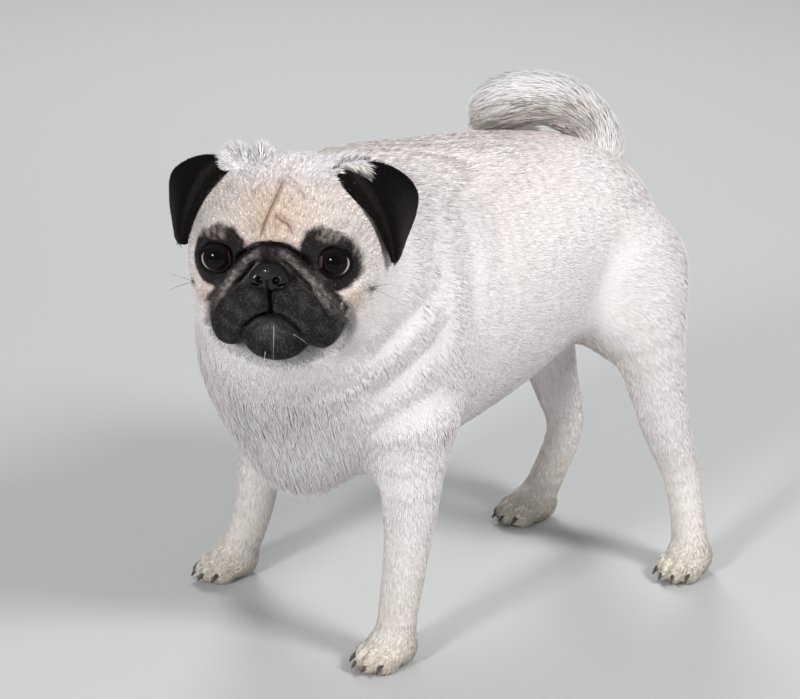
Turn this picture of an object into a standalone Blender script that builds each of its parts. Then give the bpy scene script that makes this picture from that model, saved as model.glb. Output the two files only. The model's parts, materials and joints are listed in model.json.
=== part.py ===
"""A still, life-size pug in metres, +Z up, facing -Y, its left side at +X, standing on the floor at Z = 0.

The flesh is one smooth body: named balls and limbs, each a signed distance, are melted together on a
grid and meshed, then parted by thin cuts into head, jaw, neck, torso, legs and paws.
Ears, eyes, nose, tail and claws are their own solids, set on the flesh with a thin gap.
"""

import math

import bmesh
import bpy
import numpy as np
import openvdb
from mathutils import Euler, Matrix, Vector

# Driving sizes of a slim adult pug
WITHERS = 0.310
CHEST_WIDTH = 0.150
HEAD_CENTRE = Vector((0.040, -0.132, 0.270))
HEAD_TURN = math.radians(43.5)
HEAD_NOD = math.radians(-2.2)
HEAD_TILT = math.radians(-1.5)
EYE_RADIUS = 0.0120
EYE_PLACE = (0.0355, -0.0340, 0.0070)
EAR_THICKNESS = 0.0032
GAP = 0.0003
FAR = 0.03
# Carries the finished body so that the row's origin lies under the middle of its whole box
ROW_PLACE = Vector((0.0054, 0.0049, 0.0))

# Grid steps of the meshed flesh, and the triangles kept of each mesh
BODY_STEP = 0.0042
HEAD_STEP = 0.0018
PAW_STEP = 0.0016
NOSE_STEP = 0.0008
TAIL_STEP = 0.0030
BODY_FACES = 4400
HEAD_FACES = 4800
PAW_FACES = 420
NOSE_FACES = 420
TAIL_FACES = 800

# Colours of the coat, the mask, the eyes and the claws
CREAM = (0.80, 0.72, 0.62)
BLACK = (0.022, 0.018, 0.017)
LEATHER = (0.012, 0.011, 0.012)
BROWN = (0.030, 0.013, 0.007)
HORN = (0.10, 0.08, 0.06)


class Flesh:
    """Signed distance to the growing body on a cubic grid in its own frame: negative inside, in metres."""

    def __init__(self, low, high, step, frame=Matrix()):
        self.low, self.step, self.frame, self.into = np.array(low, float), step, frame, frame.inverted()
        count = np.ceil((np.array(high) - self.low) / step).astype(int) + 1
        self.axes = [self.low[i] + step * np.arange(count[i]) for i in range(3)]
        self.value = np.full(count, FAR, np.float32)

    def window(self, low, high):
        """The slices of the grid inside a box, and the points there, or None where they miss."""
        cuts = []
        for axis, first, last in zip(self.axes, low, high):
            start, stop = np.searchsorted(axis, (first, last))
            if start >= stop:
                return None, None
            cuts.append(slice(start, stop))
        parts = [axis[cut] for axis, cut in zip(self.axes, cuts)]
        return tuple(cuts), np.stack(np.meshgrid(*parts, indexing="ij"), -1)

    def join(self, form, blend):
        """Smooth union: the form melts into the body over the blend length."""
        cuts, points = self.window(*form.reach(blend))
        if cuts:
            old, new = self.value[cuts], form.distance(points)
            melt = np.maximum(blend - np.abs(old - new), 0.0) / blend
            self.value[cuts] = np.minimum(old, new) - melt * melt * blend / 4

    def carve(self, form, blend):
        """Smooth difference: the form is pressed out of the body."""
        cuts, points = self.window(*form.reach(blend))
        if cuts:
            old, new = self.value[cuts], -form.distance(points)
            melt = np.maximum(blend - np.abs(old - new), 0.0) / blend
            self.value[cuts] = np.maximum(old, new) + melt * melt * blend / 4

    def crease(self, line, width, depth, fade, front=-0.012):
        """A fold drawn in the front view: a soft groove, sunk most on the line, the skin plump beside it,
        running out over the fade's shares of its length at both ends."""
        line = smooth_rows(np.array(line, float), 4)
        low, high = line.min(0) - 5 * width, line.max(0) + 5 * width
        cuts, points = self.window((low[0], -0.08, low[1]), (high[0], front, high[1]))
        flat = points[:, :1, :, ::2]
        off, place = np.full(flat.shape[:-1], 1.0), np.zeros(flat.shape[:-1])
        run = np.append(0, np.cumsum(np.linalg.norm(np.diff(line, axis=0), axis=1)))
        for i, (first, last) in enumerate(zip(line[:-1], line[1:])):
            share = np.clip((flat - first) @ (last - first) / ((last - first) @ (last - first)), 0, 1)
            away = np.linalg.norm(flat - first - share[..., None] * (last - first), axis=-1)
            place = np.where(away < off, (run[i] + (run[i + 1] - run[i]) * share) / run[-1], place)
            off = np.minimum(off, away)
        off = off / width
        ends = np.minimum(place / fade[0], 1) * np.minimum((1 - place) / fade[1], 1)
        groove = np.exp(-off * off) - 0.25 * np.exp(-((off - 2.4) ** 2) / 1.6)
        self.value[cuts] += (depth * ends * groove).astype(np.float32)

    def mesh(self, name):
        grid = openvdb.FloatGrid(FAR)
        grid.copyFromArray(self.value)
        points, triangles, quads = grid.convertToPolygons(isovalue=0.0)
        points = points * self.step + self.low
        data = bpy.data.meshes.new(name)
        data.from_pydata(points.tolist(), [], quads[:, ::-1].tolist() + triangles[:, ::-1].tolist())
        data.transform(self.frame)
        return data


class Ball:
    """An ellipsoid by its centre and half-sizes, turned by Euler angles in degrees."""

    def __init__(self, centre, radii, turn=(0, 0, 0), frame=Matrix()):
        self.centre = np.array(frame @ Vector(centre))
        self.radii = np.array(radii, float)
        own = Euler([math.radians(angle) for angle in turn]).to_matrix()
        self.axes = np.array(frame.to_3x3() @ own)

    def reach(self, margin):
        half = np.abs(self.axes * self.radii).sum(1) + margin + 0.004
        return self.centre - half, self.centre + half

    def distance(self, points):
        local = (points - self.centre) @ self.axes
        near = np.sqrt(((local / self.radii) ** 2).sum(-1))
        slope = np.sqrt(((local / self.radii**2) ** 2).sum(-1)) + 1e-6
        return near * (near - 1) / slope


class Limb:
    """A bending tube of oval section: stations of centre, half-width and half-depth, smoothly joined."""

    def __init__(self, stations, side=(1, 0, 0), frame=Matrix(), steps=4):
        rows = np.array([[*(frame @ Vector(place)), wide, deep] for place, wide, deep in stations])
        self.rows = smooth_rows(rows, steps)
        self.side = np.array(frame.to_3x3() @ Vector(side))

    def reach(self, margin):
        wide = self.rows[:, 3:].max() + margin + 0.004
        return self.rows[:, :3].min(0) - wide, self.rows[:, :3].max(0) + wide

    def distance(self, points):
        found = np.full(points.shape[:-1], FAR * 4)
        for first, last in zip(self.rows[:-1], self.rows[1:]):
            along = last[:3] - first[:3]
            length = np.linalg.norm(along)
            along = along / length
            across = self.side - along * (self.side @ along)
            across = across / np.linalg.norm(across)
            rel = points - first[:3]
            share = np.clip(rel @ along / length, 0, 1)
            wide = first[3] + (last[3] - first[3]) * share
            deep = first[4] + (last[4] - first[4]) * share
            local = np.stack([rel @ across, rel @ np.cross(along, across), rel @ along - share * length], -1)
            size = np.stack([wide, deep, np.minimum(wide, deep)], -1)
            near = np.sqrt(((local / size) ** 2).sum(-1))
            slope = np.sqrt(((local / size**2) ** 2).sum(-1)) + 1e-6
            found = np.minimum(found, near * (near - 1) / slope)
        return found


def smooth_rows(rows, steps):
    """Catmull-Rom curve through the rows, with the ends held."""
    ends = np.vstack([2 * rows[0] - rows[1], rows, 2 * rows[-1] - rows[-2]])
    out = []
    for p0, p1, p2, p3 in zip(ends, ends[1:], ends[2:], ends[3:]):
        for t in np.arange(steps) / steps:
            bend = 2 * p0 - 5 * p1 + 4 * p2 - p3
            out.append(0.5 * (2 * p1 + (p2 - p0) * t + bend * t * t + (3 * p1 - p0 - 3 * p2 + p3) * t**3))
    return np.array([*out, rows[-1]])


def head_frame():
    turn = Matrix.Rotation(HEAD_TURN, 4, "Z") @ Matrix.Rotation(HEAD_NOD, 4, "X")
    return Matrix.Translation(HEAD_CENTRE) @ turn @ Matrix.Rotation(HEAD_TILT, 4, "Y")


def shape_torso(flesh):
    """Rib cage, loin and croup along the spine, then breast, shoulders, thighs and buttocks."""
    at = flesh.into
    spine = [
        ((0.012, -0.112, 0.205), 0.052, 0.060),
        ((0.007, -0.085, 0.206), 0.067, 0.090),
        ((0.002, -0.050, 0.208), CHEST_WIDTH / 2, WITHERS - 0.208),
        ((0.000, -0.015, 0.2125), CHEST_WIDTH / 2, 0.0985),
        ((0.000, 0.020, 0.218), 0.073, 0.092),
        ((0.000, 0.055, 0.224), 0.068, 0.082),
        ((0.000, 0.088, 0.227), 0.061, 0.072),
        ((0.000, 0.112, 0.222), 0.056, 0.066),
        ((0.000, 0.131, 0.213), 0.048, 0.055),
    ]
    flesh.join(Limb(spine, frame=at), 0.02)
    flesh.join(Ball((0.004, -0.103, 0.150), (0.050, 0.034, 0.047), frame=at), 0.03)
    flesh.join(Ball((0.056, -0.068, 0.185), (0.026, 0.040, 0.058), (15, 0, 0), at), 0.03)
    flesh.join(Ball((-0.056, -0.080, 0.175), (0.028, 0.040, 0.055), (15, 0, 0), at), 0.03)
    for side in (-1, 1):
        flesh.join(Ball((side * 0.037, 0.134, 0.192), (0.026, 0.040, 0.046), (-20, 0, 0), at), 0.020)
        flesh.join(Ball((side * 0.028, 0.152, 0.192), (0.025, 0.028, 0.037), (-15, 0, 0), at), 0.02)


def shape_neck(flesh):
    at = flesh.into
    stations = [
        ((0.002, -0.055, 0.222), 0.066, 0.080),
        ((0.010, -0.088, 0.232), 0.066, 0.078),
        ((0.024, -0.112, 0.242), 0.063, 0.068),
        ((0.036, -0.124, 0.256), 0.056, 0.056),
    ]
    flesh.join(Limb(stations, frame=at), 0.03)
    flesh.join(Ball((-0.030, -0.112, 0.185), (0.036, 0.026, 0.050), (10, 0, 20), at), 0.03)


LEG_JOINTS = {
    "foreleg_left": ((0.066, -0.060, 0.150), (0.071, -0.067, 0.085), (0.073, -0.075, 0.042), (0.074, -0.080, 0.014)),
    "foreleg_right": ((-0.070, -0.074, 0.145), (-0.083, -0.075, 0.085), (-0.090, -0.079, 0.043), (-0.096, -0.088, 0.014)),
    "hindleg_left": ((0.054, 0.137, 0.168), (0.060, 0.149, 0.106), (0.066, 0.162, 0.062), (0.079, 0.160, 0.014)),
    "hindleg_right": ((-0.050, 0.128, 0.160), (-0.051, 0.145, 0.103), (-0.050, 0.154, 0.062), (-0.053, 0.132, 0.014)),
}
LEG_SIZES = {
    "foreleg": ((0.023, 0.028), (0.0155, 0.0170), (0.0130, 0.0138), (0.0125, 0.0125)),
    "hindleg": ((0.019, 0.0285), (0.0155, 0.0185), (0.0120, 0.0138), (0.0120, 0.0120)),
}
PAW_TURNS = {"foreleg_left": 6, "foreleg_right": -4, "hindleg_left": 16, "hindleg_right": -10}
TOES = ((-0.0108, -0.0150), (-0.0038, -0.0205), (0.0038, -0.0205), (0.0108, -0.0150))


def paw_frame(leg):
    foot = LEG_JOINTS[leg][-1]
    return Matrix.Translation((foot[0], foot[1], 0)) @ Matrix.Rotation(math.radians(PAW_TURNS[leg]), 4, "Z")


def shape_legs(flesh):
    """Each leg is a limb from the body to the foot, then the paw with four toes."""
    for leg, joints in LEG_JOINTS.items():
        sizes = LEG_SIZES[leg.split("_")[0]]
        stations = [(place, *size) for place, size in zip(joints, sizes)]
        flesh.join(Limb(stations, frame=flesh.into), 0.016)
        at = flesh.into @ paw_frame(leg)
        flesh.join(Ball((0, -0.004, 0.0105), (0.0148, 0.0185, 0.0130), frame=at), 0.008)
        for x, y in TOES:
            flesh.join(Ball((x, y, 0.0073), (0.0050, 0.0092, 0.0084), (0, 0, -x * 1000), at), 0.0022)


def shape_head(flesh):
    """Skull, cheeks and jowls, then the short muzzle with its lips, chin, nose roll and eyelids."""
    at = flesh.into @ head_frame()
    flesh.join(Ball((0, 0.012, 0.012), (0.051, 0.052, 0.047), frame=at), 0.02)
    flesh.join(Ball((0, -0.012, 0.026), (0.041, 0.029, 0.031), frame=at), 0.02)
    for side in (-1, 1):
        flesh.join(Ball((side * 0.034, 0.010, 0.038), (0.018, 0.022, 0.018), frame=at), 0.015)
        flesh.join(Ball((side * 0.036, 0.000, 0.000), (0.0238, 0.036, 0.034), frame=at), 0.014)
        flesh.join(Ball((side * 0.031, 0.002, -0.028), (0.025, 0.028, 0.027), frame=at), 0.014)
        flesh.join(Ball((side * 0.030, -0.030, 0.0235), (0.0165, 0.0130, 0.0085), (0, side * 8, 0), at), 0.010)
    flesh.join(Ball((0, -0.027, -0.018), (0.0335, 0.0215, 0.0265), frame=at), 0.008)
    for side in (-1, 1):
        flesh.join(Ball((side * 0.0370, -0.0300, -0.0120), (0.0120, 0.0090, 0.0090), frame=at), 0.008)
        flews = Ball((side * 0.0205, -0.0395, -0.0215), (0.0200, 0.0170, 0.0190), (0, side * 14, side * 14), at)
        flesh.join(flews, 0.004)
        flesh.join(Ball((side * 0.0275, -0.0370, -0.0330), (0.0125, 0.0140, 0.0125), (0, 0, side * 12), at), 0.006)
        flesh.join(Ball((side * 0.0085, -0.0480, -0.0130), (0.0085, 0.0085, 0.0080), frame=at), 0.005)
    flesh.join(Ball((0, -0.0415, -0.0400), (0.0195, 0.0125, 0.0130), frame=at), 0.003)
    flesh.join(Ball((0, -0.0455, -0.0285), (0.0130, 0.0085, 0.0070), frame=at), 0.004)
    flesh.join(Ball((0, -0.0450, 0.0010), (0.0120, 0.0080, 0.0085), frame=at), 0.005)
    for side in (-1, 1):
        roll = [
            ((0, -0.0475, 0.0137), 0.0052, 0.0052),
            ((side * 0.0115, -0.0470, 0.0096), 0.0058, 0.0058),
            ((side * 0.0220, -0.0440, -0.0005), 0.0062, 0.0062),
            ((side * 0.0300, -0.0385, -0.0105), 0.0064, 0.0064),
            ((side * 0.0360, -0.0300, -0.0220), 0.0060, 0.0060),
        ]
        flesh.join(Limb(roll, (0, 0, 1), at), 0.0035)
    flesh.join(Ball((-0.0005, -0.0375, 0.0260), (0.0085, 0.0065, 0.0110), (-12, 0, 0), at), 0.010)
    for side in (-1, 1):
        eye, lids = Vector((side * EYE_PLACE[0], *EYE_PLACE[1:])), EYE_RADIUS + 0.0020
        flesh.join(Ball(eye, (lids, lids, lids), frame=at), 0.005)
        opening = eye + Vector((side * 0.0003, -0.0110, -0.0004))
        flesh.carve(Ball(opening, (0.0102, 0.0120, 0.0080), (0, side * 10, side * 12), at), 0.0010)


FACE_CREASES = (
    (((0.0082, 0.0600), (0.0064, 0.0482), (0.0025, 0.0379), (-0.0032, 0.0285), (-0.0066, 0.0215)), 0.0018, 0.0030, (0.35, 0.1)),
    (((0.0025, 0.0379), (0.0030, 0.0296), (0.0030, 0.0240)), 0.0015, 0.0018, (0.1, 0.4)),
    (((0.0031, 0.0345), (0.0060, 0.0290), (0.0120, 0.0262), (0.0165, 0.0215)), 0.0016, 0.0024, (0.1, 0.4)),
    (((0.0167, 0.0540), (0.0225, 0.0456), (0.0250, 0.0390)), 0.0020, 0.0014, (0.4, 0.4)),
    (((-0.0142, 0.0528), (-0.0204, 0.0460), (-0.0242, 0.0399)), 0.0020, 0.0014, (0.4, 0.4)),
    (((0.0, -0.0050), (0.0, -0.0189)), 0.0014, 0.0026, (0.01, 0.01)),
)
MIRRORED_CREASES = (
    (((0.0, 0.0203), (0.0100, 0.0182), (0.0190, 0.0115), (0.0245, 0.0050)), 0.0018, 0.0042, (0.01, 0.3)),
    (((0.0065, 0.0085), (0.0130, 0.0005), (0.0205, -0.0100), (0.0280, -0.0225)), 0.0018, 0.0030, (0.2, 0.5)),
    (((0.0190, 0.0285), (0.0330, 0.0335), (0.0490, 0.0300)), 0.0022, 0.0012, (0.4, 0.4)),
    (((0.0, -0.0189), (0.0095, -0.0215), (0.0165, -0.0285), (0.0205, -0.0365), (0.0235, -0.0450)), 0.0016, 0.0036, (0.01, 0.25)),
    (((0.0275, -0.0065), (0.0340, -0.0095), (0.0440, -0.0080), (0.0490, -0.0010)), 0.0020, 0.0014, (0.4, 0.4)),
    (((0.0375, -0.0130), (0.0415, -0.0220), (0.0410, -0.0330), (0.0360, -0.0430), (0.0260, -0.0510)), 0.0028, 0.0028, (0.3, 0.3)),
)
MOUTH = ((0.0, -0.0189), (0.0095, -0.0215), (0.0165, -0.0285), (0.0202, -0.0365), (0.0216, -0.0430))
CHIN = ((0.0190, -0.0490), (0.0120, -0.0525), (0.0, -0.0535))


def crease_face(flesh):
    """Wrinkles of the forehead, the folds about the nose roll, the lip's middle line and the mouth."""
    for points, width, depth, fade in FACE_CREASES:
        flesh.crease(points, width, depth, fade)
    for points, width, depth, fade in MIRRORED_CREASES:
        for side in (-1, 1):
            flesh.crease([(side * x, z) for x, z in points], width, depth, fade)


def clear_scene():
    for obj in list(bpy.data.objects):
        bpy.data.objects.remove(obj)


def add_object(name, data, colour=CREAM, roughness=0.8):
    obj = bpy.data.objects.new(name, data)
    bpy.context.scene.collection.objects.link(obj)
    material = bpy.data.materials.new(name)
    material.use_nodes = True
    shader = material.node_tree.nodes["Principled BSDF"]
    shader.inputs["Base Color"].default_value = (*colour, 1)
    shader.inputs["Roughness"].default_value = roughness
    data.materials.clear()
    data.materials.append(material)
    data.shade_smooth()
    return obj


def bake(obj):
    """Replaces the object's mesh by what its modifiers make of it, keeping the largest closed surface."""
    graph = bpy.context.evaluated_depsgraph_get()
    data = bpy.data.meshes.new_from_object(obj.evaluated_get(graph))
    obj.modifiers.clear()
    obj.data = data
    shell = bmesh.new()
    shell.from_mesh(data)
    seen, groups = set(), []
    for vert in shell.verts:
        if vert in seen:
            continue
        group, stack = [], [vert]
        seen.add(vert)
        while stack:
            one = stack.pop()
            group.append(one)
            for edge in one.link_edges:
                other = edge.other_vert(one)
                if other not in seen:
                    seen.add(other)
                    stack.append(other)
        groups.append(group)
    groups.sort(key=len, reverse=True)
    bmesh.ops.delete(shell, geom=[vert for group in groups[1:] for vert in group], context="VERTS")
    shell.to_mesh(data)
    shell.free()
    return obj


def thin_out(obj, faces):
    """Collapses a dense mesh to about this many triangles."""
    modifier = obj.modifiers.new("Decimate", "DECIMATE")
    obj.data.calc_loop_triangles()
    modifier.ratio = min(1.0, faces / len(obj.data.loop_triangles))
    return bake(obj)


def combine(obj, other, operation):
    modifier = obj.modifiers.new(operation, "BOOLEAN")
    modifier.operation, modifier.object, modifier.solver = operation, other, "EXACT"
    return bake(obj)


def cut_away(obj, helper):
    """Takes a helper's shape out of the object, and the helper out of the scene."""
    combine(obj, helper, "DIFFERENCE")
    bpy.data.objects.remove(helper)
    return obj


def swollen(obj, amount=GAP):
    """A helper copy of the object, grown outwards by the amount."""
    other = add_object(obj.name + ".grown", obj.data.copy())
    modifier = other.modifiers.new("Displace", "DISPLACE")
    modifier.strength, modifier.mid_level = amount, 0.0
    return bake(other)


def solid(name, shape, colour=CREAM, roughness=0.8):
    data = bpy.data.meshes.new(name)
    bmesh.ops.recalc_face_normals(shape, faces=shape.faces)
    shape.to_mesh(data)
    shape.free()
    return add_object(name, data, colour, roughness)


def block(matrix, low, high, grow=0.0):
    """A helper box between two corners in the matrix's frame."""
    shape = bmesh.new()
    low, high = Vector(low) - Vector((grow,) * 3), Vector(high) + Vector((grow,) * 3)
    size = Matrix.Diagonal((*(high - low), 1))
    bmesh.ops.create_cube(shape, size=1, matrix=matrix @ Matrix.Translation((low + high) / 2) @ size)
    return solid("block", shape)


def part_off(obj, name, matrix, low, high, colour=CREAM):
    """Parts what lies in a box off the object as a node of its own, with a thin gap between them."""
    inside = block(matrix, low, high)
    piece = combine(add_object(name, obj.data.copy(), colour), inside, "INTERSECT")
    bpy.data.objects.remove(inside)
    cut_away(obj, block(matrix, low, high, GAP))
    return piece


def facing(point, normal, across=(0, 1, 0)):
    """A frame at a point whose +Z runs along the normal and whose +Y lies near the across direction."""
    up = Vector(normal).normalized()
    x = Vector(across).cross(up).normalized()
    turn = Matrix((x, up.cross(x), up)).transposed()
    return Matrix.Translation(point) @ turn.to_4x4()


LEG_CUTS = {
    "foreleg_left": ((0.055, -0.060, 0.122), (-0.62, 0, 0.78), 0.075),
    "foreleg_right": ((-0.056, -0.072, 0.120), (0.62, 0, 0.78), 0.075),
    "hindleg_left": ((0.050, 0.134, 0.168), (-0.35, -0.20, 0.90), 0.070),
    "hindleg_right": ((-0.050, 0.130, 0.166), (0.35, -0.20, 0.90), 0.070),
}
PAW_TOP = 0.030


def head_back():
    """A frame whose XY plane parts the head from the neck, behind the skull and the jaw."""
    return head_frame() @ facing((0, 0.064, 0.022), (0, 0.783, -0.622))


def build_body():
    """Meshes the flesh once, then parts it into torso, neck and legs."""
    flesh = Flesh((-0.135, -0.215, -0.012), (0.125, 0.215, 0.35), BODY_STEP)
    for shape in (shape_torso, shape_neck, shape_legs, shape_head):
        shape(flesh)
    torso = thin_out(add_object("torso", flesh.mesh("torso")), BODY_FACES)
    cut_away(torso, block(head_back(), (-0.15, -0.15, -0.25), (0.15, 0.15, 0), GAP))
    for leg in LEG_CUTS:
        point, normal, reach = LEG_CUTS[leg]
        limb = part_off(torso, leg, facing(point, normal), (-reach, -0.09, -0.24), (reach, 0.09, 0.0))
        cut_away(limb, block(Matrix(), (-0.2, -0.2, -0.1), (0.2, 0.25, PAW_TOP)))
    part_off(torso, "neck", facing((0.006, -0.080, 0.235), (-0.25, 0.90, -0.20)), (-0.15, -0.15, -0.2), (0.15, 0.15, 0))
    return torso


def build_paws():
    """Each paw on a finer grid, cut flat on the floor and below the leg, with four claws."""
    for leg in LEG_JOINTS:
        at = paw_frame(leg)
        flesh = Flesh((-0.026, -0.036, -0.008), (0.026, 0.045, 0.045), PAW_STEP, at)
        shape_legs(flesh)
        name = leg.replace("leg", "paw")
        paw = thin_out(add_object(name, flesh.mesh(name)), PAW_FACES)
        cut_away(paw, block(at, (-0.1, -0.1, PAW_TOP - GAP), (0.1, 0.1, 0.1)))
        cut_away(paw, block(at, (-0.1, -0.1, -0.05), (0.1, 0.1, 0)))
        for number, (x, y) in enumerate(TOES):
            root, point = Vector((x * 1.08, y - 0.0050, 0.0078)), Vector((x * 1.18, y - 0.0112, 0.0034))
            claw = bmesh.new()
            place = at @ facing((root + point) / 2, point - root, (1, 0, 0))
            depth = (point - root).length
            bmesh.ops.create_cone(claw, cap_ends=True, segments=8, radius1=0.0017, radius2=0.0006, depth=depth, matrix=place)
            cut_away(solid(f"claw_{name}_{number + 1}", claw, HORN, 0.4), swollen(paw, GAP))


def prism(matrix, outline, front, back):
    """A helper prism: an outline in the front view carried from a front depth to a back depth."""
    shape = bmesh.new()
    verts = [shape.verts.new(matrix @ Vector((x, front, z))) for x, z in outline]
    face = shape.faces.new(verts)
    carried = bmesh.ops.extrude_face_region(shape, geom=[face])
    shift = matrix.to_3x3() @ Vector((0, back - front, 0))
    moved = [item for item in carried["geom"] if isinstance(item, bmesh.types.BMVert)]
    bmesh.ops.translate(shape, verts=moved, vec=shift)
    return solid("prism", shape)


def build_head():
    """The head on its own finer grid, with the lower jaw parted along the mouth, eyes and nose."""
    at = head_frame()
    flesh = Flesh((-0.080, -0.070, -0.086), (0.080, 0.085, 0.078), HEAD_STEP, at)
    for shape in (shape_torso, shape_neck, shape_head, crease_face):
        shape(flesh)
    whole = thin_out(add_object("head_flesh", flesh.mesh("head")), HEAD_FACES)
    inside = block(head_back(), (-0.15, -0.15, -0.25), (0.15, 0.15, 0))
    head = combine(add_object("head", whole.data.copy()), inside, "INTERSECT")
    for helper in (whole, inside):
        bpy.data.objects.remove(helper)
    half = MOUTH + CHIN
    outline = list(half) + [(-x, z) for x, z in half[-2:0:-1]]
    jaw = add_object("lower_jaw", head.data.copy(), BLACK)
    chin = prism(at, outline, -0.08, -0.030)
    combine(jaw, chin, "INTERSECT")
    bpy.data.objects.remove(chin)
    grown = [(x * 1.02, z + 1.4 * GAP if z > -0.045 else z - 1.4 * GAP) for x, z in outline]
    cut_away(head, prism(at, grown, -0.09, -0.030 + GAP))
    for side, name in ((1, "eye_left"), (-1, "eye_right")):
        place = at @ Matrix.Translation((side * EYE_PLACE[0], *EYE_PLACE[1:])) @ Matrix.Rotation(math.pi / 2, 4, "X")
        for radius, segments in ((EYE_RADIUS, 20), (EYE_RADIUS + GAP, 28)):
            globe = bmesh.new()
            bmesh.ops.create_uvsphere(globe, u_segments=segments, v_segments=segments // 2, radius=radius, matrix=place)
            ball = solid(name if radius == EYE_RADIUS else "socket", globe, BROWN, 0.1)
        cut_away(head, ball)
    return head


def build_nose(head):
    """The nose leather: a pad with two wings, nostrils opening to the sides, and a middle groove."""
    flesh = Flesh((-0.020, -0.068, -0.014), (0.020, -0.036, 0.020), NOSE_STEP, head_frame())
    flesh.join(Ball((0, -0.0520, 0.0012), (0.0096, 0.0078, 0.0086)), 0.003)
    flesh.join(Ball((0, -0.0545, 0.0058), (0.0076, 0.0050, 0.0038)), 0.003)
    for side in (-1, 1):
        flesh.join(Ball((side * 0.0078, -0.0532, 0.0000), (0.0044, 0.0060, 0.0056)), 0.002)
        flesh.carve(Ball((side * 0.0048, -0.0592, 0.0004), (0.0019, 0.0044, 0.0025), (0, side * 30, 0)), 0.001)
        flesh.carve(Ball((side * 0.0082, -0.0585, -0.0022), (0.0036, 0.0038, 0.0009), (0, -side * 14, 0)), 0.0008)
    flesh.crease(((0.0, 0.0020), (0.0, -0.0090)), 0.0009, 0.0014, (0.1, 0.1), -0.05)
    nose = thin_out(add_object("nose", flesh.mesh("nose"), LEATHER, 0.35), NOSE_FACES)
    return cut_away(nose, swollen(head, 1.6 * GAP))


EAR_ROWS = (
    ((3.3, -0.7, 4.4), (4.0, 0.4, 4.7), (4.5, 1.6, 4.5), (4.8, 2.6, 3.8)),
    ((3.6, -0.9, 5.2), (4.6, 0.1, 5.5), (5.6, 1.2, 5.2), (6.2, 2.4, 4.3)),
    ((4.4, -1.5, 4.4), (5.8, -0.4, 4.8), (7.0, 0.8, 4.4), (7.4, 1.8, 3.5)),
    ((5.3, -1.7, 2.8), (6.4, -1.1, 3.1), (7.2, 0.0, 2.9), (7.4, 1.2, 2.3)),
    ((6.1, -1.6, 1.0), (6.6, -1.3, 1.2), (6.9, -0.7, 1.3), (7.0, 0.0, 1.1)),
    ((6.45, -1.3, 0.05), (6.55, -1.2, 0.0), (6.65, -1.1, 0.0), (6.7, -1.0, 0.1)),
)


def ear_surface(side, rows, columns):
    """The ear's middle surface, from its root over the fold and down to the tip, as a grid of points."""
    net = np.array(EAR_ROWS) / 100
    lift = np.array((0.0, 0.0045, 0.005, 0.004, 0.006, 0.007)) * (side < 0)
    net[..., 2] += lift[:, None]
    net[..., 0] *= side
    down = smooth_rows(net.reshape(len(net), -1), rows).reshape(-1, 4, 3)
    across = smooth_rows(down.transpose(1, 0, 2).reshape(4, -1), columns).reshape(-1, len(down), 3)
    return across.transpose(1, 0, 2)


def build_ears(head):
    """Each ear is a folded flap: its middle surface thickened by half on both sides, cut at the head."""
    for side, name in ((1, "ear_left"), (-1, "ear_right")):
        middle = ear_surface(side, 3, 3)
        down, across = np.gradient(middle, axis=0), np.gradient(middle, axis=1)
        normal = np.cross(down, across)
        normal = normal / np.linalg.norm(normal, axis=-1, keepdims=True)
        rows, columns = middle.shape[:2]
        shape = bmesh.new()
        at, sheets = head_frame(), []
        for share in (0.5, -0.5):
            sheet = middle + share * EAR_THICKNESS * normal
            sheets.append([[shape.verts.new(at @ Vector(point)) for point in row] for row in sheet])
        top, under = sheets
        for i in range(rows - 1):
            for j in range(columns - 1):
                shape.faces.new((top[i][j], top[i + 1][j], top[i + 1][j + 1], top[i][j + 1]))
                shape.faces.new((under[i][j], under[i][j + 1], under[i + 1][j + 1], under[i + 1][j]))
        border = [(i, 0) for i in range(rows)] + [(rows - 1, j) for j in range(1, columns)]
        border += [(i, columns - 1) for i in range(rows - 2, -1, -1)] + [(0, j) for j in range(columns - 2, 0, -1)]
        for (a, b), (c, d) in zip(border, border[1:] + border[:1]):
            shape.faces.new((top[a][b], under[a][b], under[c][d], top[c][d]))
        cut_away(solid(name, shape, BLACK), swollen(head))


TAIL = (
    ((0.000, 0.130, 0.256), 0.0190),
    ((-0.001, 0.139, 0.277), 0.0180),
    ((-0.004, 0.131, 0.297), 0.0175),
    ((-0.008, 0.112, 0.3125), 0.0175),
    ((-0.012, 0.090, 0.3185), 0.0175),
    ((-0.018, 0.074, 0.3170), 0.0165),
    ((-0.030, 0.072, 0.3090), 0.0150),
    ((-0.042, 0.084, 0.2980), 0.0140),
    ((-0.048, 0.101, 0.2870), 0.0125),
    ((-0.050, 0.115, 0.2790), 0.0100),
)


def build_tail(torso):
    """The tail curls up from the croup, forward over the back and down its right side."""
    flesh = Flesh((-0.085, 0.020, 0.230), (0.030, 0.180, 0.360), TAIL_STEP)
    flesh.join(Limb([(place, size, size) for place, size in TAIL], (1, 0.3, 0)), 0.003)
    tail = thin_out(add_object("tail_base", flesh.mesh("tail_base")), TAIL_FACES)
    cut_away(tail, swollen(torso))
    tip = facing((-0.024, 0.072, 0.3130), (0.85, 0.10, 0.50), (0, 1, 0))
    part_off(tail, "tail_tip", tip, (-0.06, -0.08, -0.06), (0.06, 0.08, 0.0))
    middle = facing((-0.008, 0.112, 0.3125), (0.12, 0.90, -0.42), (1, 0, 0))
    part_off(tail, "tail_middle", middle, (-0.06, -0.06, -0.09), (0.06, 0.06, 0.0))


def main():
    clear_scene()
    torso = build_body()
    build_tail(torso)
    build_paws()
    head = build_head()
    build_nose(head)
    build_ears(head)
    for obj in bpy.data.objects:
        obj.data.transform(Matrix.Translation(ROW_PLACE))


main()
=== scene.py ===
"""Looks of the still pug: its skin and short coat, eyes, nose, ears, whiskers and claws, on a plain floor."""

import json
import math

import bpy
import numpy as np
import openvdb
from mathutils import Euler, Matrix, Vector

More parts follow.
